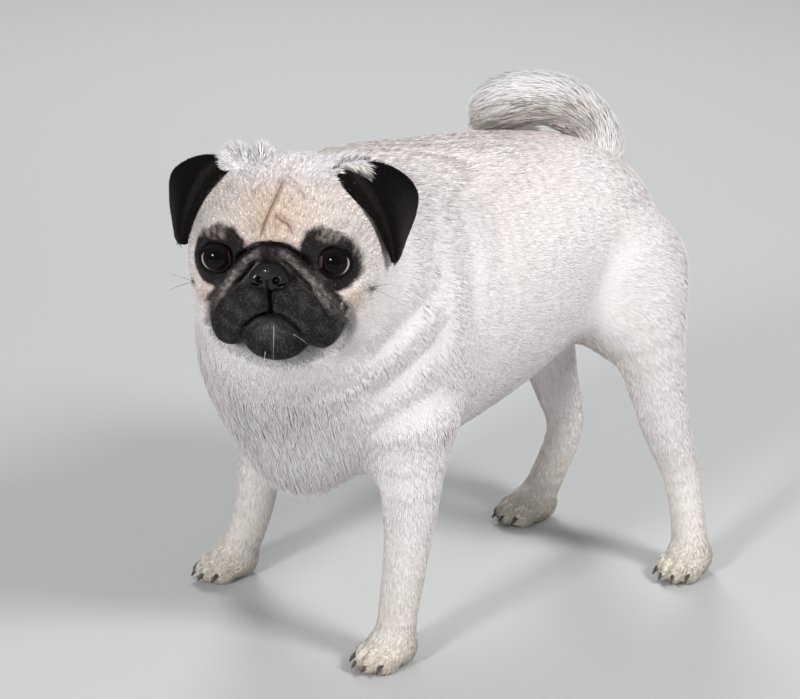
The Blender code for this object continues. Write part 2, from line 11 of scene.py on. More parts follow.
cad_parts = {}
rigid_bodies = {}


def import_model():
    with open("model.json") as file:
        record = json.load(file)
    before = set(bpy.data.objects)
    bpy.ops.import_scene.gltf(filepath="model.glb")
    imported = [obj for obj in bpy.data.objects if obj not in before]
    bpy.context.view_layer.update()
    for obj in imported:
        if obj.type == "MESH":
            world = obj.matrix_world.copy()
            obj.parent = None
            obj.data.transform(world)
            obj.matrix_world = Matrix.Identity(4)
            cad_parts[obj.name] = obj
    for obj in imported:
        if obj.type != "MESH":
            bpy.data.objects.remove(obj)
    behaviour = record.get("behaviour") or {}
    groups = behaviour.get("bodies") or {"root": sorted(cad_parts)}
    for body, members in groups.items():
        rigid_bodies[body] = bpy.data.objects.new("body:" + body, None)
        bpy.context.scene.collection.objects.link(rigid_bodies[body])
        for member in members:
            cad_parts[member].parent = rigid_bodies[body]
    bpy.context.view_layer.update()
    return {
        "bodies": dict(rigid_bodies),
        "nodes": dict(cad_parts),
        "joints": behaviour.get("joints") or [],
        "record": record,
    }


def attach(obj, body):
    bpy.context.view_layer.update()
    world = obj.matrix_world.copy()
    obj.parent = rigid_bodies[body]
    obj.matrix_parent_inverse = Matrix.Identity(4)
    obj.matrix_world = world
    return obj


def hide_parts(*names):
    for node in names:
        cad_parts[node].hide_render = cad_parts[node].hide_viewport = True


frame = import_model()
chance = np.random.default_rng(7)


# The dog's flesh, from nose to tail: one smooth body melted together from named balls and limbs, as in
# the solids, but meshed finer, with the folds of the face and neck and without the cuts between nodes.
# It lies under the solids' surface by the depth of the coat.
ROW_PLACE = np.array((0.0054, 0.0049, 0.0))
HEAD_CENTRE = Vector((0.040, -0.132, 0.270))
HEAD_FRAME = (
    Matrix.Translation(HEAD_CENTRE)
    @ Matrix.Rotation(math.radians(43.5), 4, "Z")
    @ Matrix.Rotation(math.radians(-2.2), 4, "X")
    @ Matrix.Rotation(math.radians(-1.5), 4, "Y")
)
EYE_PLACE = (0.0355, -0.0340, 0.0070)
EYE_RADIUS = 0.0120
FAR = 0.03


def smooth_rows(rows, steps):
    """Catmull-Rom curve through the rows: each piece runs between two rows, bent by their neighbours."""
    rows = np.asarray(rows, float)
    ends = np.concatenate([2 * rows[:1] - rows[1:2], rows, 2 * rows[-1:] - rows[-2:-1]])
    p0, p1, p2, p3 = (ends[i : len(rows) - 1 + i, None] for i in range(4))
    t = (np.arange(steps) / steps).reshape(1, -1, *[1] * (rows.ndim - 1))
    square, cube = 2 * p0 - 5 * p1 + 4 * p2 - p3, 3 * p1 - p0 - 3 * p2 + p3
    curve = p1 + 0.5 * t * ((p2 - p0) + t * (square + t * cube))
    return np.concatenate([curve.reshape(-1, *rows.shape[1:]), rows[-1:]])


def ramp(value, start, stop):
    """Smooth step: 0 up to start, 1 from stop, with a soft S between."""
    share = np.clip((value - start) / (stop - start), 0, 1)
    return share * share * (3 - 2 * share)


def moved(points, matrix):
    """The points turned and shifted by a placing matrix."""
    return points @ np.array(matrix.to_3x3()).T + np.array(matrix.translation)


def nearest(flat, line, marks):
    """Least distance of points drawn in a view to a line, and the place there between its corners' marks,
    as a share of the last mark."""
    off, place = np.full(flat.shape[:-1], 1.0), np.zeros(flat.shape[:-1])
    for i in range(len(line) - 1):
        piece = line[i + 1] - line[i]
        share = np.clip((flat - line[i]) @ piece / (piece @ piece), 0, 1)
        away = np.linalg.norm(flat - line[i] - share[..., None] * piece, axis=-1)
        place = np.where(away < off, (marks[i] + (marks[i + 1] - marks[i]) * share) / marks[-1], place)
        off = np.minimum(off, away)
    return off, place


class Flesh:
    """Signed distance to the growing body on a grid in its own frame, negative inside, in metres."""

    def __init__(self, low, high, step, frame=Matrix()):
        self.low, self.step, self.frame, self.into = np.array(low), step, frame, frame.inverted()
        self.value = np.full(np.ceil((np.array(high) - self.low) / step).astype(int) + 1, FAR, np.float32)

    def refine(self, times):
        """Puts a finer grid in place of this one, with values drawn straight between the old ones."""
        for axis in range(3):
            count = (self.value.shape[axis] - 1) * times + 1
            before = np.minimum(np.arange(count) // times, self.value.shape[axis] - 2)
            share = (np.arange(count) / times - before).astype(np.float32)
            share = share.reshape([-1 if i == axis else 1 for i in range(3)])
            below, above = self.value.take(before, axis), self.value.take(before + 1, axis)
            self.value = below * (1 - share) + above * share
        self.step /= times

    def window(self, low, high):
        """The slices of the grid between two corners, and the grid's points in them."""
        first = np.clip(np.floor((low - self.low) / self.step).astype(int), 0, self.value.shape)
        last = np.clip(np.ceil((high - self.low) / self.step).astype(int) + 1, 0, self.value.shape)
        parts = [np.arange(a, b) * self.step + self.low[i] for i, (a, b) in enumerate(zip(first, last))]
        points = np.stack(np.meshgrid(*parts, indexing="ij"), -1).astype(np.float32)
        return tuple(slice(a, b) for a, b in zip(first, last)), points

    def merge(self, cuts, new, soft):
        """Smooth union: the lower of the two distances, and lower still where they are within soft."""
        old = self.value[cuts]
        melt = np.maximum(soft - np.abs(old - new), 0) / soft
        self.value[cuts] = np.minimum(old, new) - melt * melt * soft / 4

    def press(self, cuts, new, soft):
        """Smooth difference: takes the new form out, with a rounded edge."""
        old = self.value[cuts]
        melt = np.maximum(soft - np.abs(old + new), 0) / soft
        self.value[cuts] = np.maximum(old, -new) + melt * melt * soft / 4

    def ball(self, centre, radii, soft, turn=(0, 0, 0), frame=Matrix(), carve=False):
        """An ellipsoid: length of the scaled offset, times one less than it, over the slope there."""
        place = self.into @ frame
        own = Euler([math.radians(angle) for angle in turn]).to_matrix()
        centre, radii = np.array(place @ Vector(centre)), np.array(radii)
        axes = np.array(place.to_3x3() @ own)
        half = np.abs(axes * radii).sum(1) + soft + 0.004
        cuts, points = self.window(centre - half, centre + half)
        if points.size:
            local = ((points - centre) @ axes) / radii
            near, slope = np.linalg.norm(local, axis=-1), np.linalg.norm(local / radii, axis=-1) + 1e-6
            (self.press if carve else self.merge)(cuts, near * (near - 1) / slope, soft)

    def limb(self, stations, soft, side=(1, 0, 0), frame=Matrix(), steps=4):
        """A bending tube of oval section, as the least distance to its short straight stretches."""
        place = self.into @ frame
        rows = smooth_rows([[*(place @ Vector(at)), wide, deep] for at, wide, deep in stations], steps)
        side = np.array(place.to_3x3() @ Vector(side))
        margin = rows[:, 3:].max() + soft + 0.004
        cuts, points = self.window(rows[:, :3].min(0) - margin, rows[:, :3].max(0) + margin)
        if not points.size:
            return
        found = np.full(points.shape[:-1], FAR * 2, np.float32)
        for first, last in zip(rows[:-1], rows[1:]):
            inner, near_points = self.window(
                np.minimum(first, last)[:3] - margin, np.maximum(first, last)[:3] + margin
            )
            inner = tuple(slice(a.start - b.start, a.stop - b.start) for a, b in zip(inner, cuts))
            length = np.linalg.norm(last[:3] - first[:3])
            along = (last[:3] - first[:3]) / length
            across = side - along * (side @ along)
            across = across / np.linalg.norm(across)
            turned = (near_points - first[:3]) @ np.stack([across, np.cross(along, across), along], 1)
            share = np.clip(turned[..., 2] / length, 0, 1)
            turned[..., 2] -= share * length
            size = first[3:] + share[..., None] * (last - first)[3:]
            size = np.concatenate([size, size.min(-1, keepdims=True)], -1)
            near = np.linalg.norm(turned / size, axis=-1)
            slope = np.linalg.norm(turned / size**2, axis=-1) + 1e-6
            found[inner] = np.minimum(found[inner], near * (near - 1) / slope)
        self.merge(cuts, found, soft)

    def crease(self, line, width, depth, fade, view, limits, plump=0.25):
        """A fold drawn in one view: a soft groove, sunk most on the line, with the skin plump beside it.
        view names the two axes it's drawn on, and limits the range along the third."""
        line = smooth_rows(line, 5)
        third = 3 - sum(view)
        low, high = np.zeros(3), np.zeros(3)
        low[list(view)], high[list(view)] = line.min(0) - 5 * width, line.max(0) + 5 * width
        low[third], high[third] = limits
        cuts, points = self.window(low, high)
        run = np.append(0, np.cumsum(np.linalg.norm(np.diff(line, axis=0), axis=1)))
        off, place = nearest(points.take([0], third)[..., list(view)], line, run)
        off = off / width
        ends = ramp(place, 0, fade[0]) * ramp(1 - place, 0, fade[1])
        beside, spread = 2.4, 1.6
        groove = np.exp(-off * off) - plump * np.exp(-((off - beside) ** 2) / spread)
        self.value[cuts] += (depth * ends * groove).astype(np.float32)

    def surface(self):
        """Points and quads of the zero surface, in the row frame."""
        grid = openvdb.FloatGrid(FAR)
        grid.copyFromArray(np.ascontiguousarray(self.value))
        points, _, quads = grid.convertToPolygons(isovalue=0.0)
        return moved(points * self.step + self.low, self.frame), quads

    def axes(self):
        """The grid's places along x, y and z, shaped so that each spreads over the whole grid."""
        parts = [np.arange(n) * self.step + low for n, low in zip(self.value.shape, self.low)]
        return np.meshgrid(*parts, indexing="ij", sparse=True)


def shape_trunk(flesh):
    """Rib cage, loin, croup, breast, shoulders and thighs, then the neck."""
    spine = [
        ((0.012, -0.112, 0.205), 0.052, 0.060),
        ((0.007, -0.085, 0.206), 0.067, 0.090),
        ((0.002, -0.050, 0.208), 0.075, 0.102),
        ((0.000, -0.015, 0.2125), 0.075, 0.0985),
        ((0.000, 0.020, 0.218), 0.073, 0.092),
        ((0.000, 0.055, 0.224), 0.068, 0.082),
        ((0.000, 0.088, 0.227), 0.061, 0.072),
        ((0.000, 0.112, 0.222), 0.056, 0.066),
        ((0.000, 0.131, 0.213), 0.048, 0.055),
    ]
    flesh.limb(spine, 0.02)
    flesh.ball((0.004, -0.103, 0.150), (0.050, 0.034, 0.047), 0.03)
    flesh.ball((0.056, -0.068, 0.185), (0.026, 0.040, 0.058), 0.03, (15, 0, 0))
    flesh.ball((-0.056, -0.080, 0.175), (0.028, 0.040, 0.055), 0.03, (15, 0, 0))
    for side in (-1, 1):
        flesh.ball((side * 0.037, 0.134, 0.192), (0.026, 0.040, 0.046), 0.020, (-20, 0, 0))
        flesh.ball((side * 0.028, 0.152, 0.192), (0.025, 0.028, 0.037), 0.02, (-15, 0, 0))
    neck = [
        ((0.002, -0.055, 0.222), 0.066, 0.080),
        ((0.010, -0.088, 0.232), 0.066, 0.078),
        ((0.024, -0.112, 0.242), 0.063, 0.068),
        ((0.036, -0.124, 0.256), 0.056, 0.056),
    ]
    flesh.limb(neck, 0.03)
    flesh.ball((-0.030, -0.112, 0.185), (0.036, 0.026, 0.050), 0.03, (10, 0, 20))


def shape_skull(flesh):
    """Skull, forehead, cheeks, jowls and brows, and the mass of the muzzle."""
    at = HEAD_FRAME
    flesh.ball((0, 0.012, 0.012), (0.051, 0.052, 0.047), 0.02, frame=at)
    flesh.ball((0, -0.012, 0.026), (0.041, 0.029, 0.031), 0.02, frame=at)
    for side in (-1, 1):
        flesh.ball((side * 0.034, 0.010, 0.038), (0.018, 0.022, 0.018), 0.015, frame=at)
        flesh.ball((side * 0.036, 0.000, 0.000), (0.0238, 0.036, 0.034), 0.014, frame=at)
        flesh.ball((side * 0.031, 0.002, -0.028), (0.025, 0.028, 0.027), 0.014, frame=at)
        flesh.ball((side * 0.030, -0.030, 0.0235), (0.0165, 0.0130, 0.0085), 0.010, (0, side * 8, 0), at)
    flesh.ball((0, -0.027, -0.018), (0.0335, 0.0215, 0.0265), 0.008, frame=at)


# Each leg's line from the body to the foot, and its half width and half depth at the same places. Then
# the way each paw points, in degrees from straight ahead, and the toes' places in the paw's frame.
LEG_JOINTS = {
    "foreleg_left": (
        (0.066, -0.060, 0.150), (0.071, -0.067, 0.085), (0.073, -0.075, 0.042), (0.074, -0.080, 0.014),
    ),
    "foreleg_right": (
        (-0.070, -0.074, 0.145), (-0.083, -0.075, 0.085), (-0.090, -0.079, 0.043), (-0.096, -0.088, 0.014),
    ),
    "hindleg_left": (
        (0.054, 0.137, 0.168), (0.060, 0.149, 0.106), (0.066, 0.162, 0.062), (0.079, 0.160, 0.014),
    ),
    "hindleg_right": (
        (-0.050, 0.128, 0.160), (-0.051, 0.145, 0.103), (-0.050, 0.154, 0.062), (-0.053, 0.132, 0.014),
    ),
}
LEG_SIZES = {
    "foreleg": ((0.023, 0.028), (0.0155, 0.0170), (0.0130, 0.0138), (0.0125, 0.0125)),
    "hindleg": ((0.019, 0.0285), (0.0155, 0.0185), (0.0120, 0.0138), (0.0120, 0.0120)),
}
PAW_TURNS = {"foreleg_left": 6, "foreleg_right": -4, "hindleg_left": 16, "hindleg_right": -10}
TOES = ((-0.0108, -0.0150), (-0.0038, -0.0205), (0.0038, -0.0205), (0.0108, -0.0150))


def paw_frame(leg):
    """The frame of a paw: on the floor under the foot, turned as the paw points."""
    foot = LEG_JOINTS[leg][-1]
    return Matrix.Translation((foot[0], foot[1], 0)) @ Matrix.Rotation(math.radians(PAW_TURNS[leg]), 4, "Z")


def shape_legs(flesh):
    """Each leg is a limb from the body to the foot, then the paw with four toes. A hind leg starts with
    one more station, deep in the thigh."""
    for leg, joints in LEG_JOINTS.items():
        stations = [(place, *size) for place, size in zip(joints, LEG_SIZES[leg.split("_")[0]])]
        if leg.startswith("hind"):
            (x, y, z), wide, deep = stations[0]
            stations = [((x * 0.72, y - 0.006, z + 0.036), wide * 1.15, deep * 1.15)] + stations
        flesh.limb(stations, 0.016)
        at = paw_frame(leg)
        flesh.ball((0, -0.004, 0.0105), (0.0148, 0.0185, 0.0130), 0.008, frame=at)
        for x, y in TOES:
            flesh.ball((x, y, 0.0073), (0.0050, 0.0092, 0.0084), 0.0022, (0, 0, -x * 1000), at)


# The folds of the face: the line in the head's x and z, the width, the depth, and the fade at its ends.
# The first table has those that cross the middle, the second those that each side has.
SHARED_CREASES = (
    (
        ((0.0025, 0.0575), (0.0034, 0.0510), (0.0013, 0.0449), (-0.0029, 0.0340), (-0.0062, 0.0234)),
        0.0013, 0.0026, (0.2, 0.1),
    ),
    (((0.0018, 0.0385), (0.0026, 0.0310), (0.0031, 0.0241)), 0.0010, 0.0012, (0.1, 0.4)),
    (((0.0022, 0.0361), (0.0053, 0.0325), (0.0094, 0.0301), (0.0130, 0.0242)), 0.0012, 0.0020, (0.1, 0.4)),
    (((0.0030, 0.0564), (0.0126, 0.0508), (0.0185, 0.0431)), 0.0012, 0.0009, (0.2, 0.4)),
    (((0.0057, 0.0447), (0.0101, 0.0420), (0.0126, 0.0397)), 0.0011, 0.0009, (0.3, 0.4)),
    (((-0.0077, 0.0527), (-0.0103, 0.0490), (-0.0124, 0.0461)), 0.0014, 0.0010, (0.4, 0.4)),
    (((0.0, -0.0050), (0.0, -0.0215)), 0.0010, 0.0026, (0.01, 0.01)),
)
PAIRED_CREASES = (
    (
        ((0.0, 0.0194), (0.0071, 0.0184), (0.0112, 0.0166))
        + ((0.0150, 0.0137), (0.0196, 0.0100), (0.0245, 0.0045)),
        0.0013, 0.0042, (0.01, 0.3),
    ),
    (
        ((0.0070, 0.0112), (0.0112, 0.0070), (0.0163, 0.0002))
        + ((0.0227, -0.0072), (0.0286, -0.0140), (0.0320, -0.0210)),
        0.0014, 0.0032, (0.2, 0.5),
    ),
    (((0.0190, 0.0285), (0.0330, 0.0325), (0.0490, 0.0270)), 0.0020, 0.0010, (0.4, 0.4)),
    (
        ((0.0, -0.0214), (0.0050, -0.0221), (0.0098, -0.0239))
        + ((0.0144, -0.0275), (0.0172, -0.0314), (0.0195, -0.0369)),
        0.0011, 0.0042, (0.01, 0.35),
    ),
    (
        ((0.0275, -0.0075), (0.0340, -0.0105), (0.0440, -0.0085), (0.0490, -0.0010)),
        0.0016, 0.0014, (0.4, 0.4),
    ),
    (
        ((0.0375, -0.0130), (0.0415, -0.0220), (0.0410, -0.0330), (0.0360, -0.0430), (0.026, -0.051)),
        0.0026, 0.0028, (0.3, 0.3),
    ),
)
# Which way each lid opening faces, as seen from the middle of its eye.
OPENINGS = {1: (0.150, -0.980, 0.100), -1: (0.110, -0.970, 0.150)}


def eye_centre(side):
    """The middle of the left eye (1) or the right (-1), in the head's frame."""
    return np.array((side * EYE_PLACE[0], *EYE_PLACE[1:]))


def shape_face(flesh):
    """Pouches, lips, chin and nose roll, then the folds, and the lids opened over the eyes."""
    at = HEAD_FRAME
    for side in (-1, 1):
        flesh.ball((side * 0.0370, -0.0300, -0.0120), (0.0120, 0.0090, 0.0090), 0.008, frame=at)
        lean = (0, side * 14, side * 14)
        flesh.ball((side * 0.0205, -0.0395, -0.0215), (0.0200, 0.0170, 0.0190), 0.004, lean, at)
        flesh.ball((side * 0.0275, -0.0370, -0.0330), (0.0125, 0.0140, 0.0125), 0.006, (0, 0, side * 12), at)
        flesh.ball((side * 0.0085, -0.0480, -0.0130), (0.0085, 0.0085, 0.0080), 0.005, frame=at)
    flesh.ball((0, -0.0415, -0.0400), (0.0195, 0.0125, 0.0130), 0.003, frame=at)
    flesh.ball((0, -0.0455, -0.0285), (0.0130, 0.0085, 0.0070), 0.004, frame=at)
    flesh.ball((0, -0.0450, 0.0010), (0.0120, 0.0080, 0.0085), 0.005, frame=at)
    for side in (-1, 1):
        roll = [
            ((0, -0.0475, 0.0141), 0.0048, 0.0048),
            ((side * 0.0115, -0.0470, 0.0112), 0.0048, 0.0050),
            ((side * 0.0220, -0.0440, 0.0012), 0.0050, 0.0054),
            ((side * 0.0300, -0.0385, -0.0088), 0.0052, 0.0056),
            ((side * 0.0360, -0.0300, -0.0205), 0.0054, 0.0054),
        ]
        flesh.limb(roll, 0.0035, (0, 0, 1), at)
    flesh.ball((-0.0005, -0.0375, 0.0260), (0.0085, 0.0065, 0.0110), 0.010, (-12, 0, 0), at)
    flesh.ball((-0.0305, -0.002, 0.0515), (0.0105, 0.0115, 0.0130), 0.006, frame=at)
    flesh.ball((-0.0135, -0.004, 0.0550), (0.0055, 0.0080, 0.0100), 0.004, frame=at)
    flesh.ball((0.0370, 0.005, 0.0490), (0.0140, 0.0130, 0.0115), 0.007, frame=at)
    for side in (-1, 1):
        lids = EYE_RADIUS + 0.0018
        flesh.ball(eye_centre(side), (lids, lids, lids), 0.005, frame=at)
    front_half = (-0.08, -0.012)
    for line, width, depth, fade in SHARED_CREASES:
        flesh.crease(line, width, depth, fade, (0, 2), front_half)
    for line, width, depth, fade in PAIRED_CREASES:
        for side in (-1, 1):
            flesh.crease([(side * x, z) for x, z in line], width, depth, fade, (0, 2), front_half)
    for side in (-1, 1):
        opening = eye_centre(side) + np.array(OPENINGS[side]) * 0.0120
        flesh.ball(opening, (0.0098, 0.0130, 0.0094), 0.0008, (0, side * 6, side * 6), at, carve=True)


def mesh_object(name, points, faces):
    """A smooth-shaded mesh object from arrays of points and of faces with one number of corners."""
    data = bpy.data.meshes.new(name)
    data.vertices.add(len(points))
    data.vertices.foreach_set("co", (points + ROW_PLACE).astype(np.float32).ravel())
    data.loops.add(faces.size)
    data.loops.foreach_set("vertex_index", faces.astype(np.int32).ravel())
    data.polygons.add(len(faces))
    data.polygons.foreach_set("loop_start", np.arange(len(faces), dtype=np.int32) * faces.shape[1])
    data.update(calc_edges=True)
    data.validate()
    data.shade_smooth()
    obj = bpy.data.objects.new(name, data)
    bpy.context.scene.collection.objects.link(obj)
    return obj


def kept(points, faces, keep):
    """The faces whose corners are all kept, and only the points they use."""
    faces = faces[keep[faces].all(1)]
    used = np.zeros(len(points), bool)
    used[faces] = True
    return points[used], (np.cumsum(used) - 1)[faces]


def set_colour(obj, colours):
    """Keeps one colour, or a colour for each point, as the piece's own colours."""
    layer = obj.data.attributes.new("coat", "FLOAT_COLOR", "POINT")
    rgba = np.ones((len(obj.data.vertices), 4), np.float32)
    rgba[:, :3] = colours
    layer.data.foreach_set("color", rgba.ravel())


def head_local(points):
    """Points of the row frame in the head's own frame: x to its left, -y forward, z up."""
    return moved(points, HEAD_FRAME.inverted())


def behind_head(points):
    """Distance behind the plane that parts head from neck."""
    on_plane, facing = np.array((0, 0.064, 0.022)), np.array((0, 0.783, -0.622))
    return (head_local(points) - on_plane) @ facing


def spot(x, z, centre, radii, edge):
    """How far inside an ellipse drawn in a view: 1 inside, 0 outside, soft over the edge."""
    away = np.sqrt(((x - centre[0]) / radii[0]) ** 2 + ((z - centre[1]) / radii[1]) ** 2)
    return 1 - ramp(away, 1 - edge, 1 + edge)


def line_away(x, z, line):
    """Least distance to a smooth line drawn in a view, and the share of its corners passed there."""
    line = smooth_rows(line, 5)
    return nearest(np.stack([x, z], -1), line, np.arange(len(line)))


def mix(base, colour, share):
    """Base plus share of the way to the colour."""
    return base + (np.array(colour) - base) * np.clip(share, 0, 1)[:, None]


def wobble(points, size):
    """Smooth unrest between -1 and 1: three crossed waves of about this size, bent by one another."""
    x, y, z = (points * (2 * math.pi / size)).T
    first, second = np.sin(x + 1.7 * np.sin(y * 0.7)), np.sin(y * 1.1 + 1.3 * np.sin(z))
    return (first + second + np.sin(z * 0.9 + x * 0.6)) / 3


# The mask's half width at each height of the muzzle, then its reach from the eye at each angle in degrees.
MASK_EDGE = (
    (-0.070, -0.060, -0.056, -0.0487, -0.0412, -0.0304, -0.0182, -0.0070)
    + (0.0030, 0.0100, 0.0135, 0.0158, 0.0178, 0.0186, 0.0225),
    (-0.015, 0.0, 0.0175, 0.0320, 0.0420, 0.0470, 0.0425, 0.0350)
    + (0.0285, 0.0200, 0.0150, 0.0112, 0.0071, 0.0, -0.0150),
)
EYE_PATCH = (
    (-180, -150, -120, -86, -62, -43, -22, 10, 45, 83, 108, 127, 136, 153, 180),
    (0.0200, 0.0220, 0.0215, 0.0186, 0.0190, 0.0183, 0.0174, 0.0152)
    + (0.0157, 0.0183, 0.0212, 0.0232, 0.0218, 0.0210, 0.0200),
)


def markings(points):
    """The coat's colours by place: cream, tan on brow and cheek, a dark trace on the back, the black mask."""
    x, y, z = head_local(points).T
    wide = np.abs(x)
    front = 1 - ramp(y, -0.020, -0.004)
    head = 1 - ramp(behind_head(points), -0.045, -0.015)
    px, py, pz = points.T
    # The body: cream, paler above, with the dark trace down the back and browner legs.
    colour = np.array((0.845, 0.802, 0.796))
    patchy = 0.5 + 0.5 * wobble(points, 0.060)
    above = ramp(pz, 0.215, 0.300) * (1 - head) * ramp(py, -0.06, 0.02)
    colour = mix(colour, (0.93, 0.86, 0.845), above * 0.9)
    colour = mix(colour, (0.80, 0.725, 0.685), patchy * (1 - head) * 0.30)
    colour = mix(colour, (0.62, 0.545, 0.505), head * ramp(z, -0.02, 0.02) * 0.9)
    colour = mix(colour, (0.70, 0.665, 0.675), head * ramp(z, 0.046, 0.056))
    trace = np.exp(-((px / 0.050) ** 2)) * ramp(pz, 0.245, 0.288)
    trace *= ramp(py, -0.110, -0.085) * (1 - ramp(py, 0.02, 0.10))
    colour = mix(colour, (0.36, 0.30, 0.27), trace * (0.56 + 0.42 * wobble(points, 0.0048)))
    colour = mix(colour, (0.78, 0.715, 0.62), (1 - ramp(pz, 0.02, 0.11)) * 0.6)
    colour = mix(colour, (0.60, 0.525, 0.41), (1 - ramp(pz, 0.004, 0.030)) * 0.75)
    # Painted shade in the hollow of the flank before each thigh.
    tuck_shade = spot(py, pz, (0.086, 0.148), (0.030, 0.020), 0.6) * (1 - head)
    colour = mix(colour, (0.52, 0.44, 0.38), tuck_shade * 0.55)
    # The head: tan brow and cheeks, and painted shade as dark lines in the folds.
    brow = np.exp(-(((x - 0.001) / 0.021) ** 2) - ((z - 0.034) / 0.020) ** 2) * front * head
    colour = mix(colour, (0.60, 0.44, 0.325), brow * 0.80)
    cheek = np.exp(-(((wide - 0.0445) / 0.0095) ** 2) - ((z + 0.0150) / 0.013) ** 2)
    cheek = cheek * head * (1 - ramp(y, -0.015, 0.005))
    colour = mix(colour, (0.60, 0.46, 0.36), cheek * 0.75)
    unrest = wobble(points, 0.009) * 0.0010 + wobble(points, 0.0031) * 0.0006
    grizzle = ramp(wobble(points, 0.0052) + 0.6 * wobble(points, 0.0021), -0.3, 0.5)
    # Painted shade: dark lines along the folds of the brow and forehead.
    for line, *_ in SHARED_CREASES[:6]:
        off, place = line_away(x, z, line)
        fold = np.exp(-((off / 0.00062) ** 2)) * front * head * (0.35 + 0.65 * ramp(place, 0, 0.4))
        colour = mix(colour, (0.13, 0.075, 0.052), fold * (0.85 if len(line) != 3 else 0.45))
    # The mask: the muzzle and the patches about the eyes, with grey hair on brows, roll and lip.
    skew = z + (y + 0.040) * 0.33
    drawn_in = 1 + 0.125 * ramp(x, 0, 0.02) * ramp(-skew, 0.010, 0.028)
    inside = np.interp(skew, *MASK_EDGE) - wide * drawn_in + unrest * 1.5
    back = -0.022 - 0.007 * (1 - ramp(z, -0.018, -0.006))
    muzzle = ramp(inside, -0.0020, 0.0014) * (1 - ramp(y - back, 0, 0.012))
    from_eye_x, from_eye_z = wide - 0.0345, z - 0.0085
    angle = np.degrees(np.arctan2(from_eye_z, from_eye_x))
    away = np.hypot(from_eye_x, from_eye_z) + unrest
    patch = ramp(np.interp(angle, *EYE_PATCH) - away, -0.0018, 0.0020) * (1 - ramp(y, -0.014, -0.002))
    lid = ramp(z, 0.0182, 0.0225) * ramp(wide, 0.0245, 0.0300)
    mask = np.maximum(muzzle, patch) * head
    colour = mix(colour, (0.0165, 0.0140, 0.0140), mask)
    colour = mix(colour, (0.33, 0.275, 0.25), patch * lid * (1 - muzzle) * (0.06 + 0.60 * grizzle))
    streaks = ramp(wobble(points, 0.011) + 0.5 * wobble(points, 0.0027), 0.0, 0.7)
    colour = mix(colour, (0.075, 0.068, 0.066), muzzle * head * streaks * 0.38)
    top = 0.0155 - 0.0128 * (wide / 0.0160) ** 1.15
    roll = np.exp(-(((skew - top + 0.0022) / 0.0056) ** 4)) * muzzle * ramp(wide, 0.0030, 0.0110)
    roll *= 1 - 0.75 * ramp(wide, 0.024, 0.038)
    colour = mix(colour, (0.25, 0.22, 0.205), roll * (0.30 + 0.70 * grizzle))
    # Painted shade: near-black lines along the grooves over and under the nose roll and along the mouth.
    for line in (PAIRED_CREASES[0][0], PAIRED_CREASES[1][0], PAIRED_CREASES[3][0]):
        off, _ = line_away(wide, z, line)
        colour = mix(colour, (0.005, 0.004, 0.004), np.exp(-((off / 0.0011) ** 2)) * mask * 0.85)
    lip = np.exp(-((wide / 0.011) ** 2) - ((z + 0.0310) / 0.0050) ** 2) * muzzle
    colour = mix(colour, (0.105, 0.098, 0.090), lip * (0.3 + 0.7 * grizzle))
    mole = np.exp(-(((wide - 0.0536) / 0.0022) ** 2) - ((z + 0.0123) / 0.0026) ** 2)
    mole = mole * head * (1 - ramp(y, 0.004, 0.012))
    return mix(colour, (0.10, 0.075, 0.06), mole * 0.85)


def bump_group(name, kind, values, height, stretch, strength, distance, invert=False):
    """A node group: a texture in stretched Object coordinates, taken as height and given as a normal."""
    group = bpy.data.node_groups.new(name, "ShaderNodeTree")
    group.interface.new_socket("Normal", in_out="OUTPUT", socket_type="NodeSocketVector")
    kinds = ("ShaderNodeTexCoord", "ShaderNodeMapping", kind, "ShaderNodeBump", "NodeGroupOutput")
    place, squeeze, texture, bump, out = (group.nodes.new(each) for each in kinds)
    squeeze.inputs["Scale"].default_value = stretch
    for socket, value in values.items():
        texture.inputs[socket].default_value = value
    bump.inputs["Strength"].default_value = strength
    bump.inputs["Distance"].default_value = distance
    bump.invert = invert
    for one, leaves, two, enters in (
        (place, "Object", squeeze, "Vector"),
        (squeeze, "Vector", texture, "Vector"),
        (texture, height, bump, "Height"),
        (bump, "Normal", out, "Normal"),
    ):
        group.links.new(one.outputs[leaves], two.inputs[enters])
    return group


def coat_material(name, bump=None, roughness=0.7):
    """A dull material that takes its colour from the piece's own colours."""
    material = bpy.data.materials.new(name)
    material.use_nodes = True
    nodes, links = material.node_tree.nodes, material.node_tree.links
    shader = nodes["Principled BSDF"]
    shader.inputs["Roughness"].default_value = roughness
    shader.inputs["Specular IOR Level"].default_value = 0.12
    colour = nodes.new("ShaderNodeAttribute")
    colour.attribute_name = "coat"
    links.new(colour.outputs["Color"], shader.inputs["Base Color"])
    if bump:
        group = nodes.new("ShaderNodeGroup")
        group.node_tree = bump
        links.new(group.outputs["Normal"], shader.inputs["Normal"])
    return material


def dress(obj, colours, material, nodes=()):
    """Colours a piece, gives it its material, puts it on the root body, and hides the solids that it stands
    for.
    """
    set_colour(obj, colours)
    obj.data.materials.append(material)
    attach(obj, "root")
    if nodes:
        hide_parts(*nodes)


hair_noise = {"Scale": 1.0, "Detail": 3.0}
short_hair = bump_group("short_hair", "ShaderNodeTexNoise", hair_noise, "Fac", (900, 300, 500), 0.8, 0.0006)
SKIN = coat_material("skin", short_hair)
skins = {}
# The folds of the neck, seen from the side: the line in y and z, the width and the depth.
NECK_FOLDS = (
    (((-0.034, 0.296), (-0.049, 0.234), (-0.056, 0.165)), 0.0085, 0.0010),
    (((-0.014, 0.290), (-0.020, 0.255), (-0.021, 0.190)), 0.0085, 0.0007),
    (((-0.046, 0.244), (-0.078, 0.229), (-0.112, 0.208)), 0.0070, 0.0013),
    (((-0.044, 0.218), (-0.075, 0.201), (-0.108, 0.176)), 0.0080, 0.0009),
)


